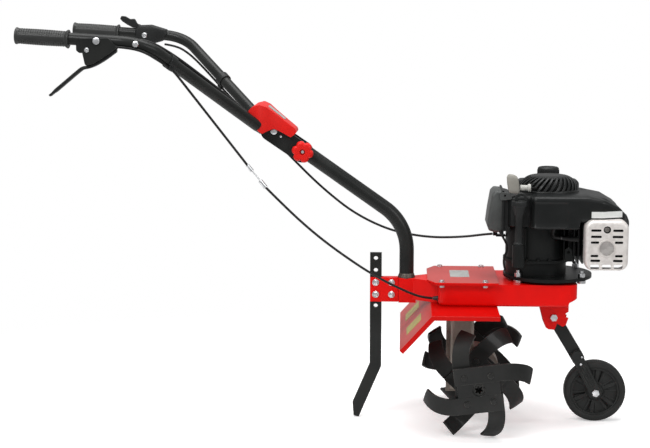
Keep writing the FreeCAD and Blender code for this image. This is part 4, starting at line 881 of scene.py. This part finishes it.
def spoke_bar(turn, start, end, half, corner):
    """Side-view outline of a bar that runs out from the wheel's middle."""
    way = polar(Vector(), 1, turn)
    across = Vector((-way.z, 0, way.x))
    outline = rounded([(start, -half), (end, -half * 0.9), (end, half * 0.9), (start, half)], corner, 4)
    return [(wheel.x + way.x * a + across.x * b, wheel.z + way.z * a + across.z * b) for a, b in outline]


def rim():
    """Moulded centre: thick web with six slots in each face and three raised ribs beside each slot."""
    hub = (wheel.x, 0, wheel.z)
    count, step, slot_turn, slot_deep = 6, 60, 11, 10.5
    disc = Shape().lathe(hub, Y, [(20, -6.5), (47.5, -6.5), (48.5, -13), (51.2, -13), (51.2, 13),
                                  (48.5, 13), (47.5, 6.5), (20, 6.5)], 96)
    slots = Shape()
    for y0 in (-12.0, 1.5):
        for i in range(count):
            slots.side(spoke_bar(step * i + slot_turn, 20, 46.5, 2.6, 2.4), y0, y0 + slot_deep)
    disc.cut(slots)
    for side in (-1, 1):
        for i in range(count):
            for lag, wide, proud in ((23, 3.4, 4.2), (3, 1.3, 2.2), (35, 1.1, 1.6)):
                outline = spoke_bar(step * i + lag, 16, 48, wide, 1.0)
                y0, y1 = sorted((side * 6.0, side * (6.5 + proud)))
                disc.side(outline, y0, y1)
    disc.lathe(hub, Y, [(15.5, -16.5), (17.5, -13), (21, -9), (21, 9), (17.5, 13), (15.5, 16.5)], 64)
    disc.lathe(hub, Y, [(10.5, -20.4), (12, -19.6), (12, 19.6), (10.5, 20.4)], 48)
    disc.piece("wheel_centre", "front_wheel", "tyre_rubber", ["wheel_rim"], bevel=0.7, corner=35)


def bolt_head(shape, place, axis, across, tall, washer=0.0):
    """Hexagon head with a chamfered top; washer is the radius of a washer under it, if it has one."""
    if washer:
        shape.lathe(place, axis, [(washer - 0.3, 0), (washer, 0.3), (washer, 1.1), (washer - 0.3, 1.4)], 36)
    foot = 1.3 if washer else 0.0
    shape.lathe(place, axis, [(across, foot), (across, foot + tall - 0.8)], 6)
    shape.lathe(place, axis, [(across * 0.86, foot + tall - 1.2), (across * 0.86, foot + tall - 0.5),
                              (across * 0.72, foot + tall), (across * 0.3, foot + tall)], 30)
    return shape


def fork_blades():
    """Two pressed blades with three stiffening beads each, the axle bolt, the pin and two small screws."""
    high = corners("wheel_fork")[1]
    bolts = corners("wheel_bolts")
    top = Vector((bolts[0].x + 6.8, 0, bolts[1].z - 5.9))
    run = Vector((wheel.x - top.x, wheel.z - top.z))
    length = run.length
    u = run.normalized()
    v = Vector((-u.y, u.x))
    half_wide, sheet, sunk = 12.0, 4.0, 0.4
    bead, bead_end, bead_from, bead_to = 1.5, 0.7, 23, length - 13

    def on_fork(along, across):
        return Vector((u.x * along + v.x * across, 0, u.y * along + v.y * across))

    outline = arc((0, 0), half_wide, 90, 270, 16) + arc((length, 0), half_wide, -90, 90, 16)
    for side, tag in SIDES:
        blade = Shape()
        y0, y1 = sorted((side * (high.y - sheet), side * high.y))
        blade.side([(top.x + u.x * a + v.x * b, top.z + u.y * a + v.y * b) for a, b in outline], y0, y1)
        for offset in (-5.4, 0.2, 5.8):
            start, end = top + on_fork(bead_from, offset), top + on_fork(bead_to, offset)
            start.y = end.y = side * (high.y - sunk)
            blade.tube([start, start.lerp(end, 0.05), start.lerp(end, 0.95), end],
                       lambda s: bead if 0.01 < s < 0.99 else bead_end, 12)
        blade.piece("fork_blade_" + tag, "wheel_carrier", "painted_black",
                    ["wheel_fork"] if side < 0 else (), bevel=0.8, corner=40)
    axle = Shape().rod((wheel.x, -high.y, wheel.z), Y, 4.9, 2 * high.y, 28)
    pin = Shape()
    screws = Shape()
    at = top + Vector((u.x, 0, u.y)) * 18.3
    edge = top + on_fork(5.3, 9.0)
    seat = high.y - 0.6
    for side in (-1, 1):
        bolt_head(axle, (wheel.x, side * high.y, wheel.z), (0, side, 0), 8.2, 5.4)
        bolt_head(pin, (at.x, side * seat, at.z), (0, side, 0), 3.0, 2.8)
        bolt_head(screws, (edge.x, side * seat, edge.z), (0, side, 0), 2.3, 2.2)
    axle.piece("wheel_axle_bolt", "wheel_carrier", "zinc_bright", ["wheel_bolts"], bevel=0.25)
    pin.piece("fork_pin", "wheel_carrier", "zinc_bright", bevel=0.2)
    screws.piece("arm_end_screws", "wheel_carrier", "zinc_bright", bevel=0.2)


def socket_rings():
    """The tine shaft, with a six-point socket in each end."""
    low, high = corners("tine_shaft")
    centre = (low + high) / 2
    r = (high.x - low.x) / 2
    cup_long, socket_deep, socket_r, tool_long = 30, 20, 9.4, 40

    def star(turn):
        return 0.80 + 0.20 * math.cos(6 * turn)

    for side, tag in SIDES:
        end = low.y if side < 0 else high.y
        out = (0, side, 0)
        cup = Shape().lathe((centre.x, end - side * cup_long, centre.z), out,
                            [(r, 0), (r, 28.5), (r - 1.0, 30.0)], 60)
        bore = Shape().lathe((centre.x, end - side * socket_deep, centre.z), out,
                             [(socket_r, 0), (socket_r, tool_long)], 96, lobes=star)
        cup.cut(bore).piece("shaft_socket_" + tag, "tine_rotor", "tine_paint", bevel=0, angle=40)
    axle = Shape().rod((centre.x, low.y + 29.8, centre.z), Y, r, high.y - low.y - 59.6, 60)
    axle.piece("tine_axle", "tine_rotor", "tine_paint", ["tine_shaft"], bevel=0)


BLADE_REACH, BLADE_OFFSET = 51.0, 31.0
ROLL_R, ROLL_END = 68.0, math.radians(63)
INWARD_SWEEP_R, OUTWARD_SWEEP_R = 117.7, 300.0
BLADE_SHEET, BLADE_WIDTH, BLADE_TAIL, BLADE_TIP = 5.0, 35.0, 99.0, 76.5
PLATE_HALF, PLATE_BOLT, HUB_R, HUB_LONG = 44, 27, 19.0, 44.0


def blade_point(along, across, skin, layer, side):
    """Where a point of a sickle-shaped strip comes to lie once it is rolled sideways past its root.

    side is 1 for a strip rolled inward and -1 for one rolled outward.
    """
    sweep_r = INWARD_SWEEP_R if side > 0 else OUTWARD_SWEEP_R
    sweep = max(along, 0.0) / sweep_r
    ahead = min(along, 0.0) + (sweep_r + across) * math.sin(sweep)
    rise = (sweep_r + across) * math.cos(sweep) - sweep_r
    roll = min(max(ahead / ROLL_R, 0.0), ROLL_END)
    past = ahead - roll * ROLL_R
    x = ROLL_R * math.sin(roll) + past * math.cos(roll) - skin * side * math.sin(roll)
    y = side * (ROLL_R * (1 - math.cos(roll)) + past * math.sin(roll)) + skin * math.cos(roll)
    return BLADE_REACH + x, layer + y, BLADE_OFFSET + rise


def tine_star(name, plane, phase, bends, mirror):
    """Four sickle blades on a square plate with a hub and four bolts.

    plane is the right side's, bends is 1 for a blade rolled inward and -1 for one rolled outward.
    """
    low, high = corners("tine_shaft")
    centre = (low + high) / 2
    half_stack = 1.5 * BLADE_SHEET

    def put(point, turn):
        x, y, z = point
        c, s = math.cos(turn), math.sin(turn)
        return Vector((centre.x + x * c + z * s, mirror * (plane + y), centre.z - x * s + z * c))

    star = Shape()
    for i, bend in enumerate(bends):
        turn = -math.radians(90 * i + phase)
        layer = BLADE_SHEET if i % 2 else -BLADE_SHEET
        rings = []
        for along in [-BLADE_TAIL] + [BLADE_TIP * k / 22 for k in range(23)]:
            rows = [(BLADE_WIDTH * (0.5 - j / 4), -BLADE_SHEET / 2) for j in range(5)]
            rows += [(-across, -skin) for across, skin in rows]
            rings.append([put(blade_point(along, across, skin, layer, bend), turn) for across, skin in rows])
        star.loft(rings)
    turn = -math.radians(phase)
    for a in (-PLATE_BOLT, PLATE_BOLT):
        for b in (-PLATE_BOLT, PLATE_BOLT):
            for side in (-1, 1):
                spot = put((a, side * half_stack, b), turn)
                bolt_head(star, spot, (0, side * mirror, 0), 6.5, 4.0)
    star.piece(name.replace("star", "blades"), "tine_rotor", "tine_paint", [name], bevel=0.5, corner=40)
    square = [put((a, 0, b), turn) for a, b in oblong(-PLATE_HALF, -PLATE_HALF, PLATE_HALF, PLATE_HALF)]
    y0, y1 = sorted((mirror * (plane - half_stack + 0.6), mirror * (plane + half_stack - 0.6)))
    plate = Shape().side([(p.x, p.z) for p in square], y0, y1)
    inner = (high.x - low.x) / 2
    heart = (centre.x, mirror * plane, centre.z)
    plate.cut(Shape().lathe(heart, Y, [(inner, -60), (inner, 60)], 48))
    plate.piece(name.replace("star", "plate"), "tine_rotor", "tine_paint", bevel=0.4, angle=40)
    foot, head = 0.8 - half_stack, HUB_LONG - half_stack
    ring = [(inner, foot), (HUB_R, foot), (HUB_R, head), (inner, head), (inner, foot)]
    hub = Shape().lathe(heart, (0, mirror, 0), ring, 48, ends=(False, False))
    hub.piece(name.replace("star", "hub"), "tine_rotor", "tine_paint", bevel=0.4, angle=40)


def tine_stars():
    """Outer stars with every blade rolled inward and inner stars with one rolled outward, on both sides."""
    outer = corners("tine_star_outer_right")[0].y + 11.5
    for side, mirror in (("right", 1), ("left", -1)):
        tine_star("tine_star_outer_" + side, outer, 7.2, (1, 1, 1, 1), mirror)
        tine_star("tine_star_inner_" + side, outer + 90.0, 48.0, (1, 1, -1, 1), mirror)


tyre()
rim()
fork_blades()
socket_rings()
tine_stars()


# ------------------------------------------------------------ handlebar
GRIP_LINE = Vector((251.0, 0.0, -16.0)).normalized()
pivot = middle("handle_pivot_bolt")
knob = middle("star_knob")


def round_head(shape, place, axis, radius, tall, socket=0.0):
    """Low domed bolt head; socket is the radius of the recess in its top."""
    profile = [(radius - 0.4, 0), (radius, 0.4), (radius, tall * 0.4), (radius * 0.86, tall * 0.75)]
    if socket:
        profile += [(radius * 0.66, tall), (socket, tall), (socket * 0.9, tall * 0.5)]
    else:
        profile += [(radius * 0.6, tall * 0.94), (radius * 0.25, tall)]
    return shape.lathe(place, axis, profile, 36)


def ribbed_grip(tag):
    """Rubber grip with finger rings above and below and smooth sides."""
    long = 106.0
    centre = middle("grip_" + tag)
    start = centre - GRIP_LINE * (long / 2)
    up = GRIP_LINE.cross(Y).normalized()
    stations = [(0.0, 11.0, 0.0), (0.0, 14.8, 0.0), (1.2, 16.4, 0.0), (3.6, 16.6, 0.0), (5.2, 15.6, 0.0)]
    pitch, count = 4.6, 20
    for i in range(count):
        for share, deep in ((0.1, 0.0), (0.5, 0.0), (0.62, 1.5), (0.98, 1.5)):
            along = 6.5 + (i + share) * pitch
            stations.append((along, 15.2 + 0.7 * math.sin(math.pi * (along - 4) / 98), deep))
    stations += [(98.5, 15.2, 0.0), (101.0, 16.4, 0.0), (103.2, 18.2, 0.0), (105.2, 18.4, 0.0),
                 (106.0, 17.6, 0.0), (106.0, 12.2, 0.0)]
    rings = []
    for along, radius, deep in stations:
        ring = []
        for k in range(64):
            turn = 2 * math.pi * k / 64
            ringed = min(1.0, max(0.0, (abs(math.cos(turn)) - 0.3) / 0.25))
            r = radius - deep * ringed
            ring.append(start + GRIP_LINE * along + (up * math.cos(turn) + Y * math.sin(turn)) * r)
        rings.append(ring)
    grip = Shape().loft(rings)
    grip.piece("hand_grip_" + tag, "handlebar", "black_rubber", ["grip_" + tag], bevel=0, angle=40)


def ribbon(shape, line, half_wide, half_thick, y):
    """Flat bar with rounded edges along a side-view line; its half sizes are functions of the share along."""
    rings = []
    for i, point in enumerate(line):
        ahead = (line[min(i + 1, len(line) - 1)] - line[max(i - 1, 0)]).normalized()
        square = Y.cross(ahead)
        share = i / (len(line) - 1)
        wide, thick = half_wide(share), half_thick(share)
        section = rounded(oblong(-wide, -thick, wide, thick), thick * 0.75, 4)
        rings.append([point + Y * (y + a) + square * b for a, b in section])
    return shape.loft(rings)


def side_line(points):
    """Smooth side-view line that the (x, z) points shape, in mm."""
    return smooth([(x, 0, z) for x, z in points], 8)


def clutch_controls():
    """Clutch lever strip under its cheek plates, the lug behind it and the bolts."""
    y = middle("clutch_lever").y
    line = side_line([(-423, 804.5), (-433, 797), (-448, 786.5), (-466, 776.5), (-479, 772.0), (-489, 771.0),
                      (-498, 764), (-526, 741), (-555.5, 716.5)])
    lever = ribbon(Shape(), line, lambda s: 7.5 + 2.3 * min(1.0, s * 4),
                   lambda s: 3.4 if s < 0.97 else 2.2, y)
    lever.lathe((-424.2, y - 7.5, 805.0), Y, [(2.2, 0), (3.0, 0.8), (3.0, 14.2), (2.2, 15)], 24)
    lever.side(rounded([(-484, 774), (-486, 812), (-470, 812), (-462, 781)], 4, 4), y - 5, y + 5)
    lever.piece("clutch_hand_lever", "handlebar", "black_plastic", ["clutch_lever"], bevel=0.4, angle=45)
    lug = rounded([(-500, 824), (-500, 805), (-494, 800), (-483, 800), (-480, 824)], 3.5, 4)
    lug = Shape().side(lug, y - 11, y + 11)
    lug.piece("clutch_lug", "handlebar", "black_plastic", bevel=1.5, segments=3)
    cheek = rounded([(-491, 829), (-489, 811), (-482, 775.5), (-466, 779), (-448, 789.5), (-432, 800),
                     (-418, 811), (-435, 829)], [2, 3, 4, 12, 12, 12, 4, 3], 4)
    low, high = corners("clutch_bracket")
    cheeks = Shape().side(cheek, low.y, low.y + 3.0).side(cheek, high.y - 3.0, high.y)
    cheeks.piece("clutch_cheeks", "handlebar", "painted_black", ["clutch_bracket"], bevel=0.5)
    low, high = corners("handle_bolts")
    bolts = Shape()
    near, far = low.y + 4.0, high.y - 4.0
    for x, z, shank, head, tall, socket in ((-459.0, 823.5, 3.4, 7.2, 3.9, 0.0),
                                            (-478.0, 806.0, 2.4, 4.9, 2.8, 2.0)):
        bolts.rod((x, near + 0.1, z), Y, shank, far - near, 20)
        round_head(bolts, (x, near, z), -Y, head, tall, socket)
        bolts.lathe((x, high.y - 4.1, z), Y, [(head, 0), (head, tall - 0.6), (head * 0.8, tall)], 6)
    round_head(bolts, (-383.5, -267.6, 817.2), -Y, 6.4, 4.2)
    bolts.piece("handle_bolt_heads", "handlebar", "zinc_bright", ["handle_bolts"], bevel=0.2)


def throttle_control():
    """Moulded throttle body round the left tube, its thumb paddle and screw."""
    low = corners("throttle_housing")[0]
    outline = [(-477, 833), (-470, 843.5), (-441, 844.5), (-405, 833.5), (-402.5, 823), (-416, 807),
               (-440, 800.5), (-462, 806.5), (-477, 813)]
    line = rounded(outline, [5, 6, 12, 3, 3, 6, 10, 9, 5], 4)
    mid = Vector((-441.0, 822.0))
    rings = []
    for deep, shrink in ((0, 5.5), (1.0, 2.8), (2.6, 1.0), (5.0, 0.0), (15.2, 0.0), (15.6, 0.8), (16.4, 0.8),
                         (16.8, 0.0), (27.0, 0.0), (29.4, 1.0), (31.0, 2.8), (32.0, 5.5)):
        rings.append([(p.x, low.y + deep, p.y) for p in drawn_in(line, mid, shrink)])
    shell = Shape().loft(rings)
    shell.piece("throttle_body", "handlebar", "black_plastic", ["throttle_housing"], bevel=0, angle=50)
    y = middle("throttle_lever").y
    paddle = [(-512.5, 858), (-509.5, 864.5), (-500, 863.5), (-490, 857.5), (-479, 858), (-473, 847),
              (-462, 843), (-466, 836), (-484, 838), (-497, 845), (-508, 852.5)]
    paddle = rounded(paddle, [2.5, 3, 4, 3, 3, 4, 2, 2, 5, 8, 4], 4)
    Shape().side(paddle, y - 4.8, y + 4.8).piece("throttle_paddle", "handlebar", "black_plastic",
                                                 ["throttle_lever"], bevel=1.6, segments=3)
    screw = round_head(Shape(), (-455.0, low.y + 0.8, 821.0), -Y, 6.2, 3.0, 2.4)
    screw.piece("throttle_screw", "handlebar", "zinc_bright", bevel=0.2)


HOOD_SIDE = [(-186, 672), (-177, 681), (-162, 685), (-149, 680), (-89, 632), (-86, 625), (-99, 614),
             (-117, 625), (-134, 634), (-149, 628), (-158, 624), (-167, 632), (-163, 648), (-169, 657)]
HOOD_ROUNDS = [3, 7, 8, 9, 4, 4, 3, 14, 11, 9, 3, 3, 9, 9]
HOOD_HALF = [(-192, 66), (-176, 65), (-162, 61.5), (-150, 53.5), (-140, 45.5), (-128, 38.5), (-112, 33),
             (-82, 27.5)]
HOOD_WALL, HOOD_FLOOR, HOOD_TOP, HOOD_REACH = 3.4, 560, 720, 75
TILT_END, COLUMN_SLOPE, COLUMN_ROOM_R = 8, 35.1, 20.5
ROOM_SIDE = [(-195, 600), (-195, 671), (-176, 676), (-162, 680), (-150, 675), (-93, 629), (-93, 600)]


def waisted(thinner):
    """Plan outline of the hood, made smaller by a wall's thickness."""
    half = [(p.x, p.y - thinner) for p in side_curve(HOOD_HALF)]
    return [(x, -y) for x, y in half] + half[::-1]


def side_curve(points):
    """Smooth plane curve through the neighbourhood of the points."""
    return [Vector((p.x, p.z)) / MM for p in spline_points([Vector((x, 0, y)) * MM for x, y in points], 6)]


def junction_hood():
    """Moulded hood with rounded edges, hollow over the tubes, with room for the column as it tilts."""
    hood = Shape().side(rounded(HOOD_SIDE, HOOD_ROUNDS, 5), -HOOD_REACH, HOOD_REACH)
    hood.cut(Shape().plan(waisted(0.0), HOOD_FLOOR, HOOD_TOP), overlapping=False, keep=True)
    hood.applied("BEVEL", width=2.6 * MM, segments=4, limit_method="ANGLE", angle_limit=math.radians(50))
    room = Shape().side(ROOM_SIDE, -HOOD_REACH, HOOD_REACH)
    room.cut(Shape().plan(waisted(HOOD_WALL), HOOD_FLOOR, HOOD_TOP), overlapping=False, keep=True)
    hood.cut(room, overlapping=False)
    for turn in (-TILT_END, 0, TILT_END):
        tilt = math.radians(turn - COLUMN_SLOPE)
        way = (math.cos(tilt), 0, math.sin(tilt))
        hood.cut(Shape().rod(pivot, way, COLUMN_ROOM_R, 90, 48), overlapping=False)
    hood.piece("hood", "handlebar", "red_plastic", ["junction_cover"], bevel=0, angle=30)
    slope = Vector((60.0, 0.0, -48.0)).normalized()
    strip = Shape().prism(rounded([(2, -17), (47, -14), (47, 14), (2, 17)], 3, 4),
                          Vector((-149, 0, 680.0)) + Vector((slope.z, 0, -slope.x)) * -0.1, slope, Y, 0.7)
    strip.piece("hood_strip", "handlebar", "grey_plastic", bevel=0.2, material=LABEL_SILVER)


def lobed(turn):
    """Outline of the knob: six broad lobes with narrow hollows between."""
    return 1.0 - 0.2 * (1.0 - abs(math.sin(3 * (turn - math.radians(15))))) ** 1.4


def knob_and_pivot():
    """The star knob on its stud, the domed pivot bolt and the pins of the column's end plates."""
    seat = 21.6
    turns = [2 * math.pi * k / 144 for k in range(144)]
    rings = []
    for radius, high in ((15.5, 0.0), (19.5, 1.0), (22.0, 3.5), (23.0, 7.0), (23.0, 14.0), (22.0, 17.2),
                         (19.8, 19.2), (16.5, 20.0), (9.0, 19.2)):
        rings.append([(knob.x + radius * lobed(t) * math.cos(t), -seat - high,
                       knob.z + radius * lobed(t) * math.sin(t)) for t in turns])
    handle = Shape().loft(rings)
    handle.cut(Shape().rod((knob.x, -seat - 10, knob.z), -Y, 6.2, 20, 40))
    handle.piece("knob", "chassis", "red_plastic", ["star_knob"], bevel=0, angle=50)
    stud = Shape().lathe((knob.x, -seat - 13, knob.z), Y, [(3.2, 0), (4.0, 0.8), (4.0, seat * 2 + 21),
                                                           (3.2, seat * 2 + 22)], 24)
    stud.lathe((knob.x, seat, knob.z), Y, [(8.0, 0), (8.0, 6.3), (6.8, 7.0)], 6)
    stud.piece("knob_stud", "chassis", "zinc_bright", bevel=0.2)
    bolt = Shape().rod((pivot.x, -seat + 0.2, pivot.z), Y, 5.0, 2 * seat - 0.4, 28)
    for side in (-1, 1):
        round_head(bolt, (pivot.x, side * seat, pivot.z), (0, side, 0), 8.2, 5.0)
    bolt.piece("pivot_bolt_domes", "chassis", "zinc_bright", ["handle_pivot_bolt"], bevel=0.2)
    pin = round_head(Shape(), (-120.5, -21.3, 615.5), -Y, 2.8, 2.2)
    round_head(pin, (-120.5, 21.3, 615.5), Y, 2.8, 2.2)
    pin.piece("end_plate_pins", "handlebar", "zinc_bright", bevel=0.1)


ribbed_grip("right")
ribbed_grip("left")
clutch_controls()
throttle_control()
junction_hood()
knob_and_pivot()


# ------------------------------------------------------------ frame
def frame_bolts():
    """Domed bolts of the stake bracket and flanged bolts of the belt cover, with their nuts."""
    low, high = corners("bracket_bolts")
    centre = (low + high) / 2
    face = high.y - 4.0
    apart_x, apart_z = 17, 13
    heads = Shape()
    for x in (centre.x - apart_x, centre.x + apart_x):
        for z in (centre.z - apart_z, centre.z + apart_z):
            heads.rod((x, -face, z), Y, 4.3, 2 * face, 24)
            heads.lathe((x, -face, z), -Y, [(7.0, 0), (7.5, 0.5), (7.5, 1.6), (6.7, 2.5), (5.7, 2.6),
                                            (5.2, 2.2), (4.2, 3.3), (2.0, 3.9)], 36)
            heads.lathe((x, face, z), Y, [(7.5, 0), (7.5, 3.3), (6.4, 4.0)], 6)
    heads.piece("stake_bolt_domes", "chassis", "zinc_bright", ["bracket_bolts"], bevel=0.15)
    low, high = corners("cover_bolts")
    centre = (low + high) / 2
    head_r = 5.2
    span_x, span_y = (high.x - low.x) / 2 - head_r, (high.y - low.y) / 2 - head_r
    lid = corners("belt_cover_plate")[1].z
    bolts = Shape()
    for x in (centre.x - span_x, centre.x + span_x):
        for y in (centre.y - span_y, centre.y + span_y):
            bolts.rod((x, y, lid), Z, 6.8, 0.9, 32)
            bolts.lathe((x, y, lid + 0.9), Z, [(5.6, 0), (5.6, 2.8), (4.8, 3.2)], 6)
            bolts.lathe((x, y, low.z), Z, [(2.6, 0), (3.0, 0.6), (3.0, lid - low.z)], 20)
            bolts.lathe((x, y, low.z + 0.4), Z, [(4.8, 0), (5.6, 0.5), (5.6, 4.4)], 6)
    bolts.piece("cover_bolt_heads", "chassis", "zinc_bright", ["cover_bolts"], bevel=0.15)


def column_weld():
    """Lumpy weld bead round the foot of the column."""
    socket = corners("rear_bracket")[1].z
    column_r = 15.5
    x = corners("column_tube")[1].x - column_r
    rings = []
    for radius, rise in ((15.6, -0.5), (18.0, -0.5), (18.2, 1.4), (17.6, 3.4), (16.6, 5.4), (15.75, 9.5),
                         (15.6, 9.6)):
        ring = []
        for k in range(96):
            turn = 2 * math.pi * k / 96
            lump = 0.35 * math.sin(19 * turn) + 0.2 * math.sin(31 * turn + 1.0) if radius > 15.8 else 0.0
            bead_r = radius + lump
            ring.append((x + bead_r * math.cos(turn), bead_r * math.sin(turn), socket + rise))
        rings.append(ring)
    bead = Shape().loft(rings)
    bead.piece("column_weld", "chassis", "muffler_steel", bevel=0, angle=60, material=WELD_GREY)


def labels():
    """Blank plate on the belt cover and two blank stickers on the guard's flap."""
    top = corners("belt_cover_plate")[1].z
    plate = Shape().plan(rounded(oblong(241, -32, 282, 46), 1.5, 3), top - 0.05, top + 0.35)
    plate.piece("cover_label", "chassis", "painted_red", bevel=0.1, material=LABEL_SILVER)
    edge = corners("tine_guard")[1]
    slope = math.radians(48)
    down = Vector((-math.cos(slope), 0, -math.sin(slope)))
    hinge = Vector((200.0, 0, edge.z))
    lift = Vector((-math.sin(slope), 0, math.cos(slope)))
    stickers = Shape()
    for run0, run1, y0, y1 in ((31, 76, -114, -46), (36, 79, 30, 99)):
        outline = rounded(oblong(y0, run0, y1, run1), 3, 4)
        stickers.prism(outline, hinge - lift * 0.05, Y, down, 0.4)
    stickers.piece("flap_labels", "chassis", "painted_red", bevel=0, material=LABEL_YELLOW)


frame_bolts()
column_weld()
labels()


# ------------------------------------------------------------ cables
CABLES = {
    "clutch_cable_upper": [(-421, -271.5, 812), (-394, -271, 810), (-366, -265.5, 802), (-341, -245, 784),
                           (-318, -222.5, 765), (-302, -214, 743), (-177, -170, 571)],
    "clutch_cable_lower": [(-140, -162, 524), (-104, -153, 486), (-64, -142, 446), (-20, -130, 407),
                           (26, -116, 371), (70, -102, 339), (114, -88, 312), (156, -73, 290),
                           (182, -64, 279.5), (203, -62, 277.5)],
    "throttle_cable": [(-411, 260, 800), (-384, 259, 796), (-358, 248, 783), (-332, 224, 764),
                       (-303, 195, 739), (-274, 163.5, 713), (-243, 132, 685), (-205, 108, 652),
                       (-166, 85, 620), (-128, 62, 586), (-90, 42, 551), (-54, 38, 516), (-18, 38, 484),
                       (24, 38, 451), (70, 37, 425), (118, 36, 406), (164, 34, 397), (206, 32, 393),
                       (246, 28, 394), (284, 20, 398), (312, 14, 403), (332, 12, 405)],
    "loom_cable": [(-421, -240.5, 823), (-392, -240, 825), (-359, -236, 821), (-320, -202, 794),
                   (-280, -160, 758), (-242, -117, 722), (-211, -82, 690), (-188, -53, 667),
                   (-172, -37, 658)],
}
# Length and thickness of each cord in metres, and the two ends of the stretch where each cord crosses from
# the handlebar to the chassis.
CABLE_FACTS = {"clutch_cable_upper": (0.3756, 0.005), "clutch_cable_lower": (0.4399, 0.005),
               "throttle_cable": (0.944, 0.005), "loom_cable": (0.3603, 0.007)}
CROSSING = {"clutch_cable_lower": ((-0.14, -0.162, 0.524), (0.2, -0.062, 0.278)),
            "throttle_cable": ((-0.09, 0.042, 0.551), (0.3, 0.016, 0.4))}


def cable(name):
    """One cord's sheath along its route, riding on the handlebar unless it crosses from the handlebar to the
    chassis.
    """
    route = [Vector(p) * MM for p in CABLES[name]]
    length, diameter = CABLE_FACTS[name]
    line = spline_points(route)
    crosses = name in CROSSING
    sheath = Shape().tube([p * (1 / MM) for p in line], diameter / 2 / MM, 14)
    body = None if crosses else "handlebar"
    piece = add(name + "_sheath", sheath.mesh(name), body, "cable_sheath", angle=60)
    if crosses:
        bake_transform(piece)
    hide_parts(name)


for name in CABLES:
    cable(name)


# ------------------------------------------------------------ stage, light and camera
FLOOR_SIZE, FLOOR_LEVEL, FLOOR_GLOW, FLOOR_FADE = 3.0, -0.0005, 0.36, (0.55, 1.1)
DIM_SKY, BRIGHT_SKY = 0.42, 1.0


def stage():
    """White floor that keeps the shadows and fades out into the white backdrop."""
    mesh = bpy.data.meshes.new("floor")
    bm = bmesh.new()
    bmesh.ops.create_grid(bm, x_segments=1, y_segments=1, size=FLOOR_SIZE)
    bm.to_mesh(mesh)
    bm.free()
    floor = bpy.data.objects.new("floor", mesh)
    bpy.context.scene.collection.objects.link(floor)
    f = Finish("floor_sweep", Roughness=0.9, Specular_IOR_Level=0.0)
    f.give("Base Color", f.noise(3.0, 2.0).mix((0.90, 0.90, 0.90), (0.92, 0.92, 0.92)))
    seen = f.node("ShaderNodeLightPath", {}, {}, "Is Camera Ray")
    glow = f.node("ShaderNodeEmission", {}, {"Strength": seen * FLOOR_GLOW})
    lit = f.node("ShaderNodeAddShader", {}, {0: Signal(f, f.shader.outputs[0]), 1: glow})
    gone = f.node("ShaderNodeBsdfTransparent", {}, {})
    spread = f.node("ShaderNodeVectorMath", {"operation": "LENGTH"}, {0: f.place((0.8, 1.0, 1.0))}, "Value")
    faded = f.node("ShaderNodeMixShader", {}, {0: spread.cut(*FLOOR_FADE), 1: lit, 2: gone})
    f.put(f.tree.nodes["Material Output"].inputs["Surface"], faded)
    mesh.materials.append(f.material)
    floor.location.z = FLOOR_LEVEL


def area_light(name, place, aim, size, power):
    """Rectangular lamp at place, turned towards aim."""
    light = bpy.data.lights.new(name, "AREA")
    light.shape = "RECTANGLE"
    light.size, light.size_y = size
    light.energy = power
    lamp = bpy.data.objects.new(name, light)
    lamp.location = place
    lamp.rotation_euler = (Vector(aim) - Vector(place)).to_track_quat("-Z", "Y").to_euler()
    bpy.context.scene.collection.objects.link(lamp)


def studio():
    """White backdrop for the camera and through clear parts, and a dimmer one for all else; three lamps."""
    world = bpy.data.worlds.new("studio")
    bpy.context.scene.world = world
    world.use_nodes = True
    sky = Nodes(world.node_tree, "Background")
    seen = sky.node("ShaderNodeLightPath", {}, {}, "Is Camera Ray")
    through = sky.node("ShaderNodeLightPath", {}, {}, "Is Transmission Ray")
    sky.give("Color", (1.0, 1.0, 1.0))
    sky.give("Strength", seen.math("MAXIMUM", through).fade(DIM_SKY, BRIGHT_SKY))
    area_light("key", place=(-1.5, -2.4, 2.9), aim=(0.1, 0, 0.35), size=(1.6, 1.2), power=62)
    area_light("fill", place=(2.4, -2.2, 1.9), aim=(0.2, 0, 0.3), size=(1.4, 1.4), power=26)
    area_light("top", place=(0.1, 0.2, 3.0), aim=(0.1, 0, 0.3), size=(2.4, 1.8), power=62)


def camera():
    """The one camera, a little above the handles, tipped down and turned slightly to the left."""
    tipped, turned = 8.74, 3.06
    data = bpy.data.cameras.new("camera")
    data.lens = 82.69
    data.sensor_width = 36.0
    eye = bpy.data.objects.new("camera", data)
    eye.location = (0.1415, -3.170, 0.913)
    eye.rotation_euler = (math.radians(90 - tipped), 0, math.radians(turned))
    bpy.context.scene.collection.objects.link(eye)
    bpy.context.scene.camera = eye


stage()
studio()
camera()
bpy.context.scene.view_settings.view_transform = "Standard"
